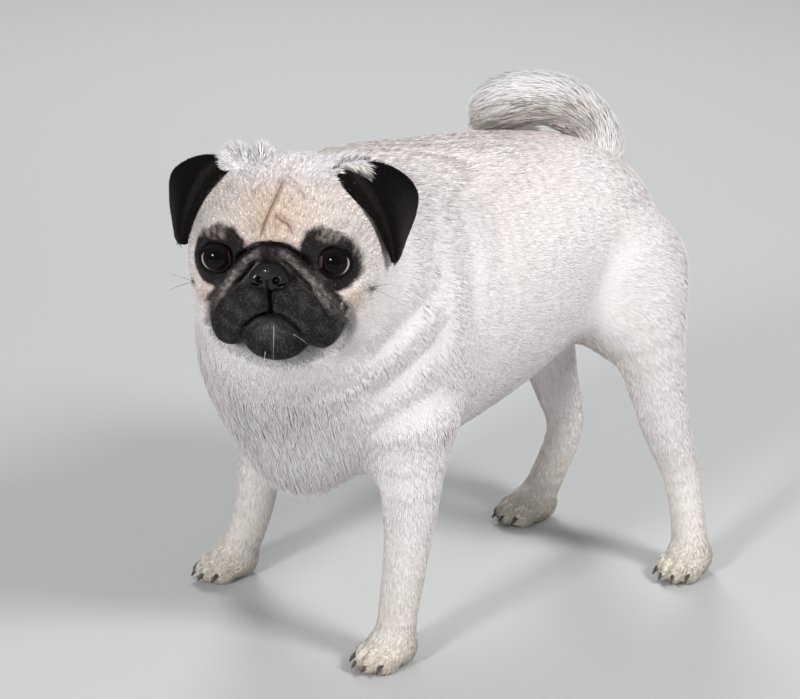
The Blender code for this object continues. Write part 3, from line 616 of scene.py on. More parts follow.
def outward(points, corners):
    """The unit normal of each point, from the sum of its triangles' area vectors, and those vectors."""
    a, b, c = (points[corners[:, i]] for i in range(3))
    area = np.cross(b - a, c - a)
    total = np.stack([np.bincount(corners.ravel(), area[:, i].repeat(3), len(points)) for i in range(3)], 1)
    return total / (np.linalg.norm(total, axis=1, keepdims=True) + 1e-12), area


def add_skin(name, points, faces, *nodes):
    """Sinks the folds of the neck into the skin, and makes it the piece that stands for the nodes."""
    normals, _ = outward(points, faces[:, :3])
    for line, width, depth in NECK_FOLDS:
        off, place = line_away(points[:, 1], points[:, 2], line)
        off = off / width
        share = ramp(place, 0, 0.25) * ramp(1 - place, 0, 0.25)
        share = share * ramp(np.abs(points[:, 0] - 0.012), 0.018, 0.040)
        sunk = depth * share * (np.exp(-off * off) - 0.35 * np.exp(-((off - 2.2) ** 2)))
        points = points - normals * sunk[:, None]
    # Painted shade: the skin is coloured darker than the coat, for the shade under the hair.
    painted_shade_under_hair = 0.93
    dress(mesh_object(name, points, faces), markings(points) * painted_shade_under_hair, SKIN, nodes)
    skins[name] = (points, faces)


# The skins of head and body reach this far over the plane between them.
overlap = 0.003
head_flesh = Flesh((-0.080, -0.070, -0.086), (0.080, 0.085, 0.074), 0.0046, HEAD_FRAME)
shape_trunk(head_flesh)
head_flesh.refine(4)
shape_skull(head_flesh)
shape_face(head_flesh)
hair_depth = 0.0006 + 0.0010 * ramp(head_flesh.axes()[1], -0.020, 0.020)
head_flesh.value += hair_depth.astype(np.float32)
points, faces = head_flesh.surface()
points, faces = kept(points, faces, behind_head(points) < overlap)
add_skin("skin_head", points, faces, "head", "lower_jaw")

body_flesh = Flesh((-0.135, -0.215, -0.012), (0.125, 0.215, 0.35), 0.0048)
shape_trunk(body_flesh)
body_flesh.refine(2)
shape_skull(body_flesh)
shape_legs(body_flesh)
hair_depth = 0.0008 + 0.0008 * ramp(body_flesh.axes()[2], 0.05, 0.13)
body_flesh.value += hair_depth.astype(np.float32)
points, faces = body_flesh.surface()
paw_top, leg_end = 0.032, 0.027
points, faces = kept(points, faces, (behind_head(points) > -overlap) & (points[:, 2] > leg_end))
add_skin("skin_body", points, faces, "torso", "neck", *LEG_JOINTS)

for leg in LEG_JOINTS:
    paw_flesh = Flesh((-0.026, -0.036, -0.008), (0.026, 0.045, 0.045), 0.0012, paw_frame(leg))
    shape_legs(paw_flesh)
    paw_flesh.value += 0.0008
    points, faces = paw_flesh.surface()
    points, faces = kept(points, faces, points[:, 2] < paw_top)
    points[:, 2] = np.maximum(points[:, 2], 0.0003)
    paw = leg.replace("leg", "paw")
    add_skin("skin_" + paw, points, faces, paw)


# The tail: from the croup up, forward over the back and down its right side, a tube along the curl.
TAIL = (
    ((0.000, 0.130, 0.256), 0.0190),
    ((-0.001, 0.139, 0.277), 0.0180),
    ((-0.004, 0.131, 0.297), 0.0175),
    ((-0.008, 0.112, 0.3125), 0.0175),
    ((-0.012, 0.090, 0.3185), 0.0175),
    ((-0.018, 0.074, 0.3170), 0.0165),
    ((-0.030, 0.072, 0.3090), 0.0150),
    ((-0.042, 0.084, 0.2980), 0.0140),
    ((-0.048, 0.101, 0.2870), 0.0125),
    ((-0.050, 0.115, 0.2790), 0.0100),
)


def strip(rows, columns):
    """Faces of a net of points: rows times columns, with its last column joined to the first."""
    first, one = np.arange(rows - 1)[:, None] * columns, np.arange(columns)
    two = (one + 1) % columns
    corners = [first + one, first + two, first + columns + two, first + columns + one]
    return np.stack(corners, -1).reshape(-1, 4)


def tube(rows, sides, side, steps):
    """A round tube: a ring of each row's radius round each smoothed row, with both ends left open."""
    rows = smooth_rows(rows, steps)
    centre, radius = rows[:, :3], rows[:, 3]
    along = np.gradient(centre, axis=0)
    along /= np.linalg.norm(along, axis=1, keepdims=True)
    across = np.cross(along, side)
    across /= np.linalg.norm(across, axis=1, keepdims=True)
    turn = np.arange(sides) * (2 * math.pi / sides)
    ring = np.cos(turn)[:, None] * across[:, None] + np.sin(turn)[:, None] * np.cross(along, across)[:, None]
    points = (centre[:, None] + radius[:, None, None] * ring).reshape(-1, 3)
    return points, strip(len(rows), sides)


rows = np.array([[*place, size - 0.0035] for place, size in TAIL])
tip = rows[-1] + (rows[-1] - rows[-2]) * 0.35
rows = np.concatenate([rows, [[*tip[:3], 0.0002]]])
points, faces = tube(rows, 40, (1, 0.2, 0.1), 10)
add_skin("skin_tail", points, faces, "tail_base", "tail_middle", "tail_tip")
tail_line = smooth_rows(rows, 10)


# The coat: short tufts, thin closed spindles rooted in the skin, laid along the way that the hair grows.
# Guides give that way: a place, and the way there. The head's are in its own frame, for its left side.
BODY_LIE = (
    ((0.00, -0.06, 0.31), (0, 1, -0.05)),
    ((0.00, 0.05, 0.31), (0, 1, -0.08)),
    ((0.00, 0.13, 0.28), (0, 0.7, -0.6)),
    ((0.00, 0.175, 0.23), (0, 0.15, -1)),
    ((0.075, -0.02, 0.24), (0, 0.9, -0.30)),
    ((-0.075, -0.02, 0.24), (0, 0.9, -0.30)),
    ((0.068, 0.06, 0.21), (0, 0.9, -0.35)),
    ((-0.068, 0.06, 0.21), (0, 0.9, -0.35)),
    ((0.00, -0.02, 0.11), (0, 1, 0.0)),
    ((0.00, 0.08, 0.15), (0, 1, 0.25)),
    ((0.080, -0.07, 0.20), (0, 0.35, -0.9)),
    ((-0.080, -0.08, 0.19), (0, 0.35, -0.9)),
    ((0.075, -0.065, 0.13), (0, 0.10, -1)),
    ((-0.080, -0.075, 0.13), (0, 0.10, -1)),
    ((0.00, -0.135, 0.17), (0, 0.10, -1)),
    ((0.03, -0.120, 0.13), (0.1, 0.35, -0.9)),
    ((-0.03, -0.120, 0.13), (-0.1, 0.35, -0.9)),
    ((0.070, -0.08, 0.26), (0.1, 0.75, -0.5)),
    ((-0.050, -0.11, 0.24), (-0.2, 0.5, -0.8)),
    ((0.03, -0.15, 0.21), (0, 0.1, -1)),
    ((0.065, 0.12, 0.20), (0, 0.90, -0.40)),
    ((-0.065, 0.12, 0.20), (0, 0.90, -0.40)),
    ((0.060, 0.14, 0.165), (0, 0.65, -0.75)),
    ((-0.060, 0.14, 0.165), (0, 0.65, -0.75)),
    ((0.055, 0.15, 0.13), (0, 0.10, -1)),
    ((-0.050, 0.15, 0.13), (0, 0.10, -1)),
    ((0.07, -0.07, 0.06), (0, 0.05, -1)),
    ((-0.09, -0.08, 0.06), (0, 0.05, -1)),
    ((0.07, 0.16, 0.06), (0, 0.05, -1)),
    ((-0.05, 0.15, 0.06), (0, 0.05, -1)),
)
HEAD_LIE = (
    ((0.006, -0.050, 0.013), (0.5, 0.2, 0.4)),
    ((0.014, -0.050, 0.009), (0.9, 0.1, -0.4)),
    ((0.022, -0.045, 0.000), (0.7, 0.2, -0.7)),
    ((0.033, -0.036, -0.014), (0.5, 0.3, -0.8)),
    ((0.010, -0.056, -0.016), (0.5, 0.0, -0.8)),
    ((0.022, -0.054, -0.022), (0.7, 0.2, -0.6)),
    ((0.034, -0.042, -0.030), (0.6, 0.5, -0.6)),
    ((0.000, -0.056, -0.040), (0, 0.1, -1)),
    ((0.030, -0.035, -0.048), (0.3, 0.7, -0.6)),
    ((0.003, -0.045, 0.022), (0.1, 0.1, 1)),
    ((0.003, -0.035, 0.045), (0.15, 0.4, 0.9)),
    ((0.020, -0.032, 0.045), (0.5, 0.4, 0.8)),
    ((0.022, -0.040, 0.020), (0.2, 0.2, 1.0)),
    ((0.036, -0.038, 0.023), (0.6, 0.35, 0.7)),
    ((0.050, -0.018, 0.020), (0.4, 0.9, 0.2)),
    ((0.036, -0.038, -0.008), (0.6, 0.3, -0.7)),
    ((0.052, -0.015, -0.008), (0.2, 0.95, -0.25)),
    ((0.048, -0.005, -0.035), (0.1, 0.85, -0.5)),
    ((0.010, -0.010, -0.062), (0, 0.9, -0.4)),
    ((0.003, 0.000, 0.060), (0.05, 1, 0.15)),
    ((0.030, 0.005, 0.055), (0.3, 1, 0.1)),
    ((0.037, -0.006, 0.049), (1.0, 0.15, -0.05)),
    ((0.043, 0.004, 0.045), (1.0, 0.3, -0.1)),
    ((0.003, 0.050, 0.050), (0, 0.9, -0.4)),
    ((0.052, 0.040, 0.010), (0.05, 0.9, -0.4)),
)


def pulled(points, places, ways, reach):
    """The mean of the ways, each weighted by a bell of the distance to its place, wide by reach."""
    total = np.zeros_like(points)
    for place, way in zip(np.array(places), np.array(ways)):
        away = ((points - place) ** 2).sum(1) / reach**2
        total += (np.exp(-away) + 1e-9)[:, None] * (way / np.linalg.norm(way))
    return total


def lie(points):
    """The way the hair lies: guides of the body and, nearer the head, those of the face."""
    body = pulled(points, *zip(*BODY_LIE), 0.045)
    local = head_local(points)
    mirrored = local * np.where(local[:, :1] < 0, -1, 1) ** np.array((1, 0, 0))
    face = pulled(mirrored, *zip(*HEAD_LIE), 0.012)
    face[:, 0] *= local[:, 0] / np.hypot(local[:, 0], 0.005)
    face = face @ np.array(HEAD_FRAME.to_3x3()).T
    body /= np.linalg.norm(body, axis=1, keepdims=True) + 1e-12
    face /= np.linalg.norm(face, axis=1, keepdims=True) + 1e-12
    share = ramp(behind_head(points), -0.030, 0.005)[:, None]
    way = face * (1 - share) + body * share
    paws = (1 - ramp(points[:, 2], 0.012, 0.032))[:, None]
    return way * (1 - paws) + np.array((0, -0.85, -0.5)) * paws


def rooted(name, count, density=lambda points: 1.0):
    """Random roots over a skin, spread by area times density, with the skin's normal at each."""
    points, faces = skins[name]
    corners = np.concatenate([faces[:, :3], faces[:, [0, 2, 3]]])
    normals, area = outward(points, corners)
    middle = points[corners].mean(1)
    share = np.cumsum(np.linalg.norm(area, axis=1) * density(middle))
    pick = np.searchsorted(share, chance.random(count) * share[-1]).clip(0, len(corners) - 1)
    u, v = chance.random((2, count, 1))
    u, v = np.where(u + v > 1, 1 - u, u), np.where(u + v > 1, 1 - v, v)
    weights, chosen = (1 - u - v, u, v), corners[pick]
    place = sum(weight * points[chosen[:, i]] for i, weight in enumerate(weights))
    up = sum(weight * normals[chosen[:, i]] for i, weight in enumerate(weights))
    return place, up / np.linalg.norm(up, axis=1, keepdims=True)


COAT = coat_material("coat", roughness=0.62)


def tufts(name, place, up, way, length, lift, width, colour, unwrap, slot="coat", sag=0, streak=0.045):
    """One closed spindle for each root: a point under the skin, a low ridged ring, and the tip.
    The tip stands off the skin by lift, less sag where the skin bends away under it, and each
    tuft turns a little off the lie."""
    count = len(place)
    way = way / (np.linalg.norm(way, axis=1, keepdims=True) + 1e-12) + chance.normal(0, 0.09, (count, 3))
    swirl = np.stack([wobble(place + 0.7, 0.013), wobble(place + 1.9, 0.017), wobble(place + 3.1, 0.011)], 1)
    way = way + swirl * 0.16
    way = way - up * (way * up).sum(1, keepdims=True)
    way /= np.linalg.norm(way, axis=1, keepdims=True) + 1e-12
    across = np.cross(up, way)
    length = (length * chance.uniform(0.75, 1.2, count))[:, None]
    width = (width * chance.uniform(0.75, 1.25, count))[:, None]
    lift = (lift * chance.uniform(0.5, 1.4, count))[:, None]
    sag = np.reshape(sag, (-1, 1))
    widest, ridge, root_depth, patch_size = 0.42, 0.16, 0.0004, 0.0015
    middle = place + way * length * widest + up * (lift * 0.6 - sag * 0.18)
    ring = [middle + across * width / 2, middle + up * width * ridge, middle - across * width / 2]
    root, tip = place - up * root_depth, place + way * length + up * (lift - sag)
    points = np.stack([root, *ring, tip], 1).reshape(-1, 3)
    pattern = np.array([(0, 2, 1), (0, 3, 2), (0, 1, 3), (4, 1, 2), (4, 2, 3), (4, 3, 1)])
    faces = (np.arange(count)[:, None, None] * 5 + pattern).reshape(-1, 3)
    points[:, 2] = np.maximum(points[:, 2], 0.0002)
    obj = mesh_object(name, points, faces)
    soft = [up - way * 0.2, up + across * 0.30, up, up - across * 0.30, up + way * 0.2]
    soft = np.stack(soft, 1).reshape(-1, 3)
    obj.data.normals_split_custom_set_from_vertices(soft / np.linalg.norm(soft, axis=1, keepdims=True))
    # Dark hair varies most from tuft to tuft, and about a quarter of it is greyer, but not on the ears.
    dark = 1 - ramp(colour.mean(1), 0.1, 0.6)
    middling = (1 - dark) * (1 - ramp(colour.mean(1), 0.60, 0.80))
    spread = 0.034 + 0.26 * dark + 0.22 * middling
    clump = wobble(place + 5.3, 0.0031) + 0.7 * wobble(place + 2.1, 0.0017)
    shade = np.exp(chance.normal(0, 1, count) * spread + clump * (streak + 0.30 * middling + 0.10 * dark))
    pale = chance.random(count) < 0.26 * dark * (slot == "coat")
    grey = pale[:, None] * chance.uniform(0.005, 0.060, (count, 1))
    colour = colour * shade[:, None] + grey * dark[:, None]
    # Painted shade darkens each tuft's root and sides, and painted light brightens its tip.
    root_shade_tip_light = np.array((0.93, 0.985, 1.0, 0.985, 1.03)).reshape(1, 5, 1)
    dress(obj, (colour[:, None] * root_shade_tip_light).clip(0, 0.96).reshape(-1, 3), COAT)
    patch = np.array([(0, -1), (-1, 0), (0, 0.3), (1, 0), (0, 1)]) * patch_size
    corner = (np.clip(unwrap, 0.003, 0.997)[:, None] + patch).reshape(-1, 2)
    layer = obj.data.uv_layers.new(name="OFBake")
    layer.data.foreach_set("uv", corner[faces.ravel()].astype(np.float32).ravel())


def round_axis(points, centre, axis, low, high):
    """Unwrap round an axis: the angle about it, and the place along it between low and high."""
    rest = [i for i in range(3) if i != axis]
    away = points - np.array(centre)
    angle = np.arctan2(away[:, rest[0]], -away[:, rest[1]]) / (2 * math.pi) + 0.5
    return np.stack([angle, (points[:, axis] - low) / (high - low)], 1)


def coat_length(points):
    """Hair length by place: short on legs, longer on the breast, the back of the thighs and the neck."""
    _, y, z = points.T
    length = 0.0085 + 0.009 * ramp(-y, 0.085, 0.125) * ramp(z, 0.09, 0.13) * (1 - ramp(z, 0.165, 0.215))
    length += 0.005 * ramp(y, 0.150, 0.178) * ramp(z, 0.12, 0.17)
    return length * (0.72 + 0.28 * ramp(z, 0.06, 0.13))


# The body's coat is in five pieces: left and right, before and behind the waist, and the legs. Over the
# waist and the top of the legs the hair of both neighbours thins out, and together they cover it.
leg_top, waist = (0.104, 0.128), (-0.035, 0.035)


def quarter(points, rear, left):
    """Share of the hair that is one quarter's: by y over the waist, by the side, and by z over the leg."""
    behind, on_left = ramp(points[:, 1], *waist), points[:, 0] > 0
    behind = behind if rear else 1 - behind
    return behind * (on_left if left else ~on_left) * ramp(points[:, 2], *leg_top)


for name, count, chosen in (
    ("coat_fore_left", 30500, lambda points: quarter(points, False, True)),
    ("coat_fore_right", 30500, lambda points: quarter(points, False, False)),
    ("coat_rear_left", 30500, lambda points: quarter(points, True, True)),
    ("coat_rear_right", 30500, lambda points: quarter(points, True, False)),
    ("coat_legs", 27000, lambda points: 1 - ramp(points[:, 2], *leg_top)),
):
    place, up = rooted("skin_body", count, chosen)
    length = coat_length(place)
    chest = ramp(-place[:, 1], 0.085, 0.120) * ramp(place[:, 2], 0.085, 0.11)
    stand = 0.040 + 0.02 * ramp(length, 0.0085, 0.0165)
    stand += (0.06 + 0.20 * chest) * ramp(-up[:, 2], 0.25, 0.75)
    wide = 0.00060 * (0.75 + 0.25 * ramp(place[:, 2], 0.06, 0.13)) * (1 - 0.15 * chest)
    unwrap = round_axis(place, (0, 0, 0.2), 1, -0.2, 0.2)
    if name == "coat_legs":
        fore, left = place[:, 1] < 0.05, place[:, 0] > 0
        corner = np.stack([0.5 * left, 0.5 * fore], 1)
        foot = np.where(left, np.where(fore, 0.072, 0.064), np.where(fore, -0.088, -0.050))
        foot = np.stack([foot, np.where(fore, -0.075, 0.150)], 1)
        angle = np.arctan2(*(place[:, :2] - foot).T) / (2 * math.pi) + 0.5
        unwrap = corner + 0.5 * np.stack([angle, place[:, 2] / leg_top[1]], 1)
    tufts(name, place, up, lie(place), length, length * stand, wide, markings(place), unwrap)

place, up = rooted("skin_tail", 23000)
near = np.argmin(((place[:, None] - tail_line[None, ::2, :3]) ** 2).sum(-1), 1) * 2
pace = np.linalg.norm(np.gradient(tail_line[:, :3], axis=0), axis=1, keepdims=True)
along = np.gradient(tail_line[:, :3], axis=0) / pace
turning = np.gradient(along, axis=0) / pace
curve = np.clip(-(turning[near] * up).sum(1), 0, None)
curve /= 1 + 0.013 * curve
along = along[near]
outer = place - tail_line[near, :3]
outer /= np.linalg.norm(outer, axis=1, keepdims=True)
angle = np.arctan2(outer[:, 0], outer[:, 2]) / (2 * math.pi) + 0.5
run = near / len(tail_line)
inner = outer @ np.array((0.60, -0.45, -0.65))
streak = ramp(inner, 0.05, 0.75) * ramp(run, 0.10, 0.20) * (1 - ramp(run, 0.60, 0.75))
streak *= 0.55 + 0.45 * wobble(place, 0.007)
colour = mix((0.92, 0.885, 0.875), (0.29, 0.225, 0.17), streak * 0.9)
base = 1 - ramp(run, 0.02, 0.16)
colour = colour * (1 - base[:, None]) + markings(place) * base[:, None]
length = 0.0135 + 0.003 * ramp(run, 0.1, 0.4) + 0.004 * ramp(outer[:, 2], -0.2, -0.9)
length *= 1 - 0.35 * ramp(run, 0.85, 1.0)
unwrap = np.stack([angle, run], 1)
lift = length * (0.25 - 0.13 * base)
tufts("coat_tail", place, up, along, length, lift, 0.0006, colour, unwrap, sag=length**2 * curve / 2)

for leg in LEG_JOINTS:
    name = leg.replace("leg", "paw")
    place, up = rooted("skin_" + name, 2500, lambda p: ramp(p[:, 2], 0.001, 0.004))
    unwrap = round_axis(moved(place, paw_frame(leg).inverted()), (0, -0.004, 0.012), 2, 0, 0.034)
    short = 0.0034 + 0.0022 * ramp(place[:, 2], 0.012, 0.030)
    tufts("coat_" + name, place, up, lie(place), short, short * 0.14, 0.0006, markings(place), unwrap)


def face_length(local):
    """Hair length on the head: least on the muzzle and about the eyes, longer to the ears and the neck."""
    length = 0.0023 + 0.0052 * ramp(local[:, 1], -0.042, 0.020)
    return length + 0.0040 * fluff(local).clip(0, 1)


def fluff(local):
    """Where the hair stands up: a bell at the left ear's root and two on the crown by the right ear."""
    total = 0
    for share, centre, radii in (
        (0.35, (0.0370, 0.004, 0.0600), (0.015, 0.014, 0.012)),
        (0.90, (-0.0305, -0.002, 0.0620), (0.013, 0.012, 0.010)),
        (0.90, (-0.0135, -0.004, 0.0640), (0.007, 0.010, 0.008)),
    ):
        total = total + share * np.exp(-(((local - centre) / radii) ** 2).sum(1))
    return total


def on_skull(local):
    """0 on the face and 1 on the skull and neck, with a short step between."""
    return ramp(local[:, 1], -0.021, -0.019)


for name, count, chosen in (
    ("coat_face", 32000, lambda points: 1 - on_skull(head_local(points))),
    ("coat_head", 32000, lambda p: on_skull(head_local(p)) * (1 + 1.6 * fluff(head_local(p)))),
):
    place, up = rooted("skin_head", count, chosen)
    local = head_local(place)
    # Bare are the skin about each lid opening, the nose, and the bottoms of the brow's deep folds.
    opening, lid_reach, fold_half = 0.86, 0.018, 0.0007
    eyes = np.stack([local - eye_centre(side) for side in (-1, 1)])
    away = np.linalg.norm(eyes, axis=-1)
    facing = [eye @ (np.array(OPENINGS[side]) / 0.99) for eye, side in zip(eyes, (-1, 1))]
    open_skin = (np.stack(facing) / away > math.cos(opening)) & (away < lid_reach)
    bare = open_skin.any(0) | (away < EYE_RADIUS + 0.0003).any(0)
    away = away.min(0)
    nose = np.linalg.norm((local - (0, -0.0535, 0.002)) / (0.0125, 0.014, 0.0105), axis=1)
    folds = [line_away(local[:, 0], local[:, 2], line)[0] for line, *_ in SHARED_CREASES[:3]]
    keep = ~bare & (nose > 1) & ((np.minimum.reduce(folds) > fold_half) | (local[:, 1] > -0.02))
    place, up, local, away = place[keep], up[keep], local[keep], away[keep]
    nape, fluffed = ramp(behind_head(place), -0.030, 0.0), fluff(local).clip(0, 1)
    length = face_length(local) * (0.70 + 0.30 * ramp(away, 0.014, 0.022))
    length = length * (1 - nape) + coat_length(place) * nape
    stand = (0.08 + 0.30 * fluffed) * (1 - nape) + 0.05 * nape
    wide = np.where(local[:, 1] < -0.02, 0.00040, 0.00056) * (1 - 0.2 * fluffed)
    ball = local / np.linalg.norm(local, axis=1, keepdims=True)
    turned = np.arctan2(ball[:, 0], -ball[:, 1]) / (2 * math.pi) + 0.5
    unwrap = np.stack([turned, np.arccos(ball[:, 2]) / math.pi], 1)
    tufts(name, place, up, lie(place), length, length * stand, wide, markings(place), unwrap, streak=0.085)


# The eyes: each a wet globe with a bulging cornea, a dark brown iris and a narrow rim of white, between
# black moist lid edges, with the pinkish third lid in the inner corner.
def painted(name, roughness, coat=0.0, bump=None, specular=0.5):
    """The same with a clear coat and another gloss."""
    material = coat_material(name, bump, roughness)
    shader = material.node_tree.nodes["Principled BSDF"]
    shader.inputs["Coat Weight"].default_value = coat
    shader.inputs["Coat Roughness"].default_value = 0.02
    shader.inputs["Specular IOR Level"].default_value = specular
    return material


def unit(vector):
    """The vector at length 1."""
    return np.array(vector) / np.linalg.norm(vector)


def round_about(axis, turn, tilt):
    """Unit ways that lean away from an axis by tilt, turned round it from its own level."""
    level = unit(np.cross((0, 0, 1), axis))
    ring = np.cos(turn)[..., None] * level + np.sin(turn)[..., None] * np.cross(axis, level)
    return np.cos(tilt)[..., None] * axis + np.sin(tilt)[..., None] * ring


wet = painted("wet_eye", 0.05, 0.16, specular=0.05)
lid_skin = painted("lid_skin", 0.5, specular=0.07)
turn = np.linspace(0, 2 * math.pi, 96, endpoint=False)
for side, name in ((1, "eye_left"), (-1, "eye_right")):
    centre, faced = eye_centre(side), unit(OPENINGS[side])
    gaze = unit(faced + (-side * 0.08, 0, 0.07))
    tilt = np.concatenate([np.linspace(0.004, 1.2, 60), np.linspace(1.25, math.pi - 0.01, 20)])
    bulge = 0.0009 * np.clip(1 - (tilt / 0.78) ** 2, 0, 1) ** 1.5
    ways = round_about(gaze, *np.meshgrid(turn, tilt))
    points = (centre + (EYE_RADIUS + bulge)[:, None, None] * ways).reshape(-1, 3)
    off = np.repeat(EYE_RADIUS * np.sin(np.minimum(tilt, math.pi / 2)), len(turn))
    spokes = np.sin(turn * 31 + 2 * np.sin(turn * 7)) + np.sin(turn * 53 + 1.3 * np.sin(turn * 5))
    spokes = np.tile(spokes, len(tilt))
    inward = ways.reshape(-1, 3) @ (-side * unit(np.cross((0, 0, 1), faced)))
    colour = mix((0.12, 0.075, 0.065), (0.42, 0.39, 0.375), ramp(-inward, 0.24, 0.50))
    colour = mix(colour, (0.10, 0.06, 0.05), 1 - ramp(off, 0.0077, 0.0083))
    iris = np.array((0.0062, 0.0038, 0.0031)) * (1 + 0.14 * spokes[:, None])
    colour = mix(colour, iris, 1 - ramp(off, 0.0073, 0.0079))
    colour = mix(colour, (0.004, 0.003, 0.003), np.exp(-(((off - 0.0075) / 0.0006) ** 2)))
    colour = mix(colour, (0.0015, 0.0015, 0.0015), 1 - ramp(off, 0.0036, 0.0043))
    globe = mesh_object(name + "_wet", moved(points, HEAD_FRAME), strip(len(tilt), len(turn))[:, ::-1])
    dress(globe, colour, wet, [name])

    open_high = np.where(np.sin(turn) > 0, 0.53, 0.67)
    edge = 1 / np.sqrt((np.cos(turn) / 0.755) ** 2 + (np.sin(turn) / open_high) ** 2)
    corner = np.mod(turn - (math.pi - 0.12 if side > 0 else 0.12) + math.pi, 2 * math.pi) - math.pi
    edge += 0.15 * np.exp(-((corner / 0.28) ** 2))
    outer = ((0, 0.0001), (0.01, 0.0005), (0.03, 0.0008), (0.06, 0.0010), (0.10, 0.0011), (0.14, 0.0010))
    outer += ((0.21, 0.0006), (0.31, -0.0005), (0.20, -0.0006), (0.12, -0.0006), (0.04, -0.0004))
    lean, high = np.array(outer).T
    broad = 1.1 + 0.25 * ramp(np.sin(turn), -0.2, 0.4)
    away = edge[:, None] + lean * broad[:, None]
    ways = round_about(faced, np.broadcast_to(turn[:, None], away.shape), away)
    points = (centre + (EYE_RADIUS + high)[None, :, None] * ways).reshape(-1, 3)
    faces = strip(len(turn) + 1, len(lean)) % len(points)
    lids = mesh_object("lids_" + name[4:], moved(points, HEAD_FRAME), faces)
    dress(lids, (0.0050, 0.0042, 0.0044), lid_skin)

    sweep = np.linspace(0.02, math.pi - 0.02, 16)
    ball = round_about(np.array((0.0, 1.0, 0.0)), *np.meshgrid(turn[::4], sweep)).reshape(-1, 3)
    inner = round_about(faced, np.array([math.pi - 0.10 if side > 0 else 0.10]), np.array([0.75]))[0]
    aside = unit(np.cross((0, 0, 1), inner))
    # Painted shade: the right third lid has the left one's pink, made darker.
    half_width, pink_shaded_right = (0.0015, (0.050, 0.030, 0.027)) if side > 0 else (0.0010, (0.022, 0.014, 0.013))
    axes = np.stack([aside * half_width, inner * 0.0009, np.cross(inner, aside) * 0.0040])
    points = centre + inner * (EYE_RADIUS + 0.0001) + ball @ axes
    third = mesh_object("third_lid_" + name[4:], moved(points, HEAD_FRAME), strip(16, 24))
    dress(third, pink_shaded_right, lid_skin)


# The nose: bare black leather with two wings and open nostrils, pebbled and a little moist.
nose_flesh = Flesh((-0.020, -0.068, -0.014), (0.020, -0.036, 0.020), 0.0004, HEAD_FRAME)
nose_flesh.ball((0, -0.0520, 0.0012), (0.0096, 0.0078, 0.0086), 0.003, frame=HEAD_FRAME)
nose_flesh.ball((0, -0.0545, 0.0058), (0.0076, 0.0050, 0.0038), 0.003, frame=HEAD_FRAME)
for side in (-1, 1):
    nose_flesh.ball((side * 0.0078, -0.0532, 0), (0.0044, 0.0060, 0.0056), 0.002, frame=HEAD_FRAME)
    nostril = (side * 0.0048, -0.0592, 0.0004)
    nose_flesh.ball(nostril, (0.0019, 0.0044, 0.0025), 0.001, (0, side * 30, 0), HEAD_FRAME, carve=True)
    slit = (side * 0.0082, -0.0585, -0.0022)
    nose_flesh.ball(slit, (0.0036, 0.0038, 0.0009), 0.0008, (0, -side * 14, 0), HEAD_FRAME, carve=True)
nose_flesh.crease(((0.0, 0.0020), (0.0, -0.0090)), 0.0008, 0.0014, (0.1, 0.1), (0, 2), (-0.068, -0.050))
points, faces = nose_flesh.surface()
nose = mesh_object("nose_leather", points, faces)
# Painted shade: the leather is painted darker towards black about and inside the nostrils.
nostrils = [(side * 0.0048, -0.0575, 0.0004) for side in (1, -1)]
nostril_shade_distance = np.linalg.norm(head_local(points)[:, None] - nostrils, axis=-1).min(1)
colour = mix((0.0085, 0.0070, 0.0084), (0.002, 0.002, 0.002), 1 - ramp(nostril_shade_distance, 0.0012, 0.0026))
pebbles = bump_group(
    "pebbles", "ShaderNodeTexVoronoi", {"Scale": 900}, "Distance", (1, 1, 1), 0.5, 0.0004, invert=True
)
dress(nose, colour, painted("nose_leather", 0.34, 0.5, pebbles, 0.16), ["nose"])


# The ears: thin black velvet flaps that fold over and hang, the front edge turned out in a brown rim.
# The rows run from root to tip and each from front to rear, in centimetres of the head's frame.
EAR_ROWS = (
    ((2.6, -1.0, 4.8), (3.8, 0.4, 4.8), (4.5, 1.6, 4.5), (4.8, 2.6, 3.8)),
    ((2.8, -1.2, 5.4), (4.4, 0.1, 5.6), (5.6, 1.2, 5.2), (6.2, 2.4, 4.3)),
    ((3.8, -1.8, 4.6), (5.6, -0.4, 4.8), (7.0, 0.8, 4.4), (7.4, 1.8, 3.5)),
    ((5.4, -1.7, 2.8), (6.4, -1.1, 3.1), (7.2, 0.0, 2.9), (7.4, 1.2, 2.3)),
    ((6.2, -1.6, 1.0), (6.7, -1.3, 1.2), (6.95, -0.7, 1.3), (7.0, 0.0, 1.1)),
    ((6.45, -1.3, 0.05), (6.55, -1.2, 0.0), (6.65, -1.1, 0.0), (6.7, -1.0, 0.1)),
)
velvet = painted("velvet", 0.8, specular=0.04)
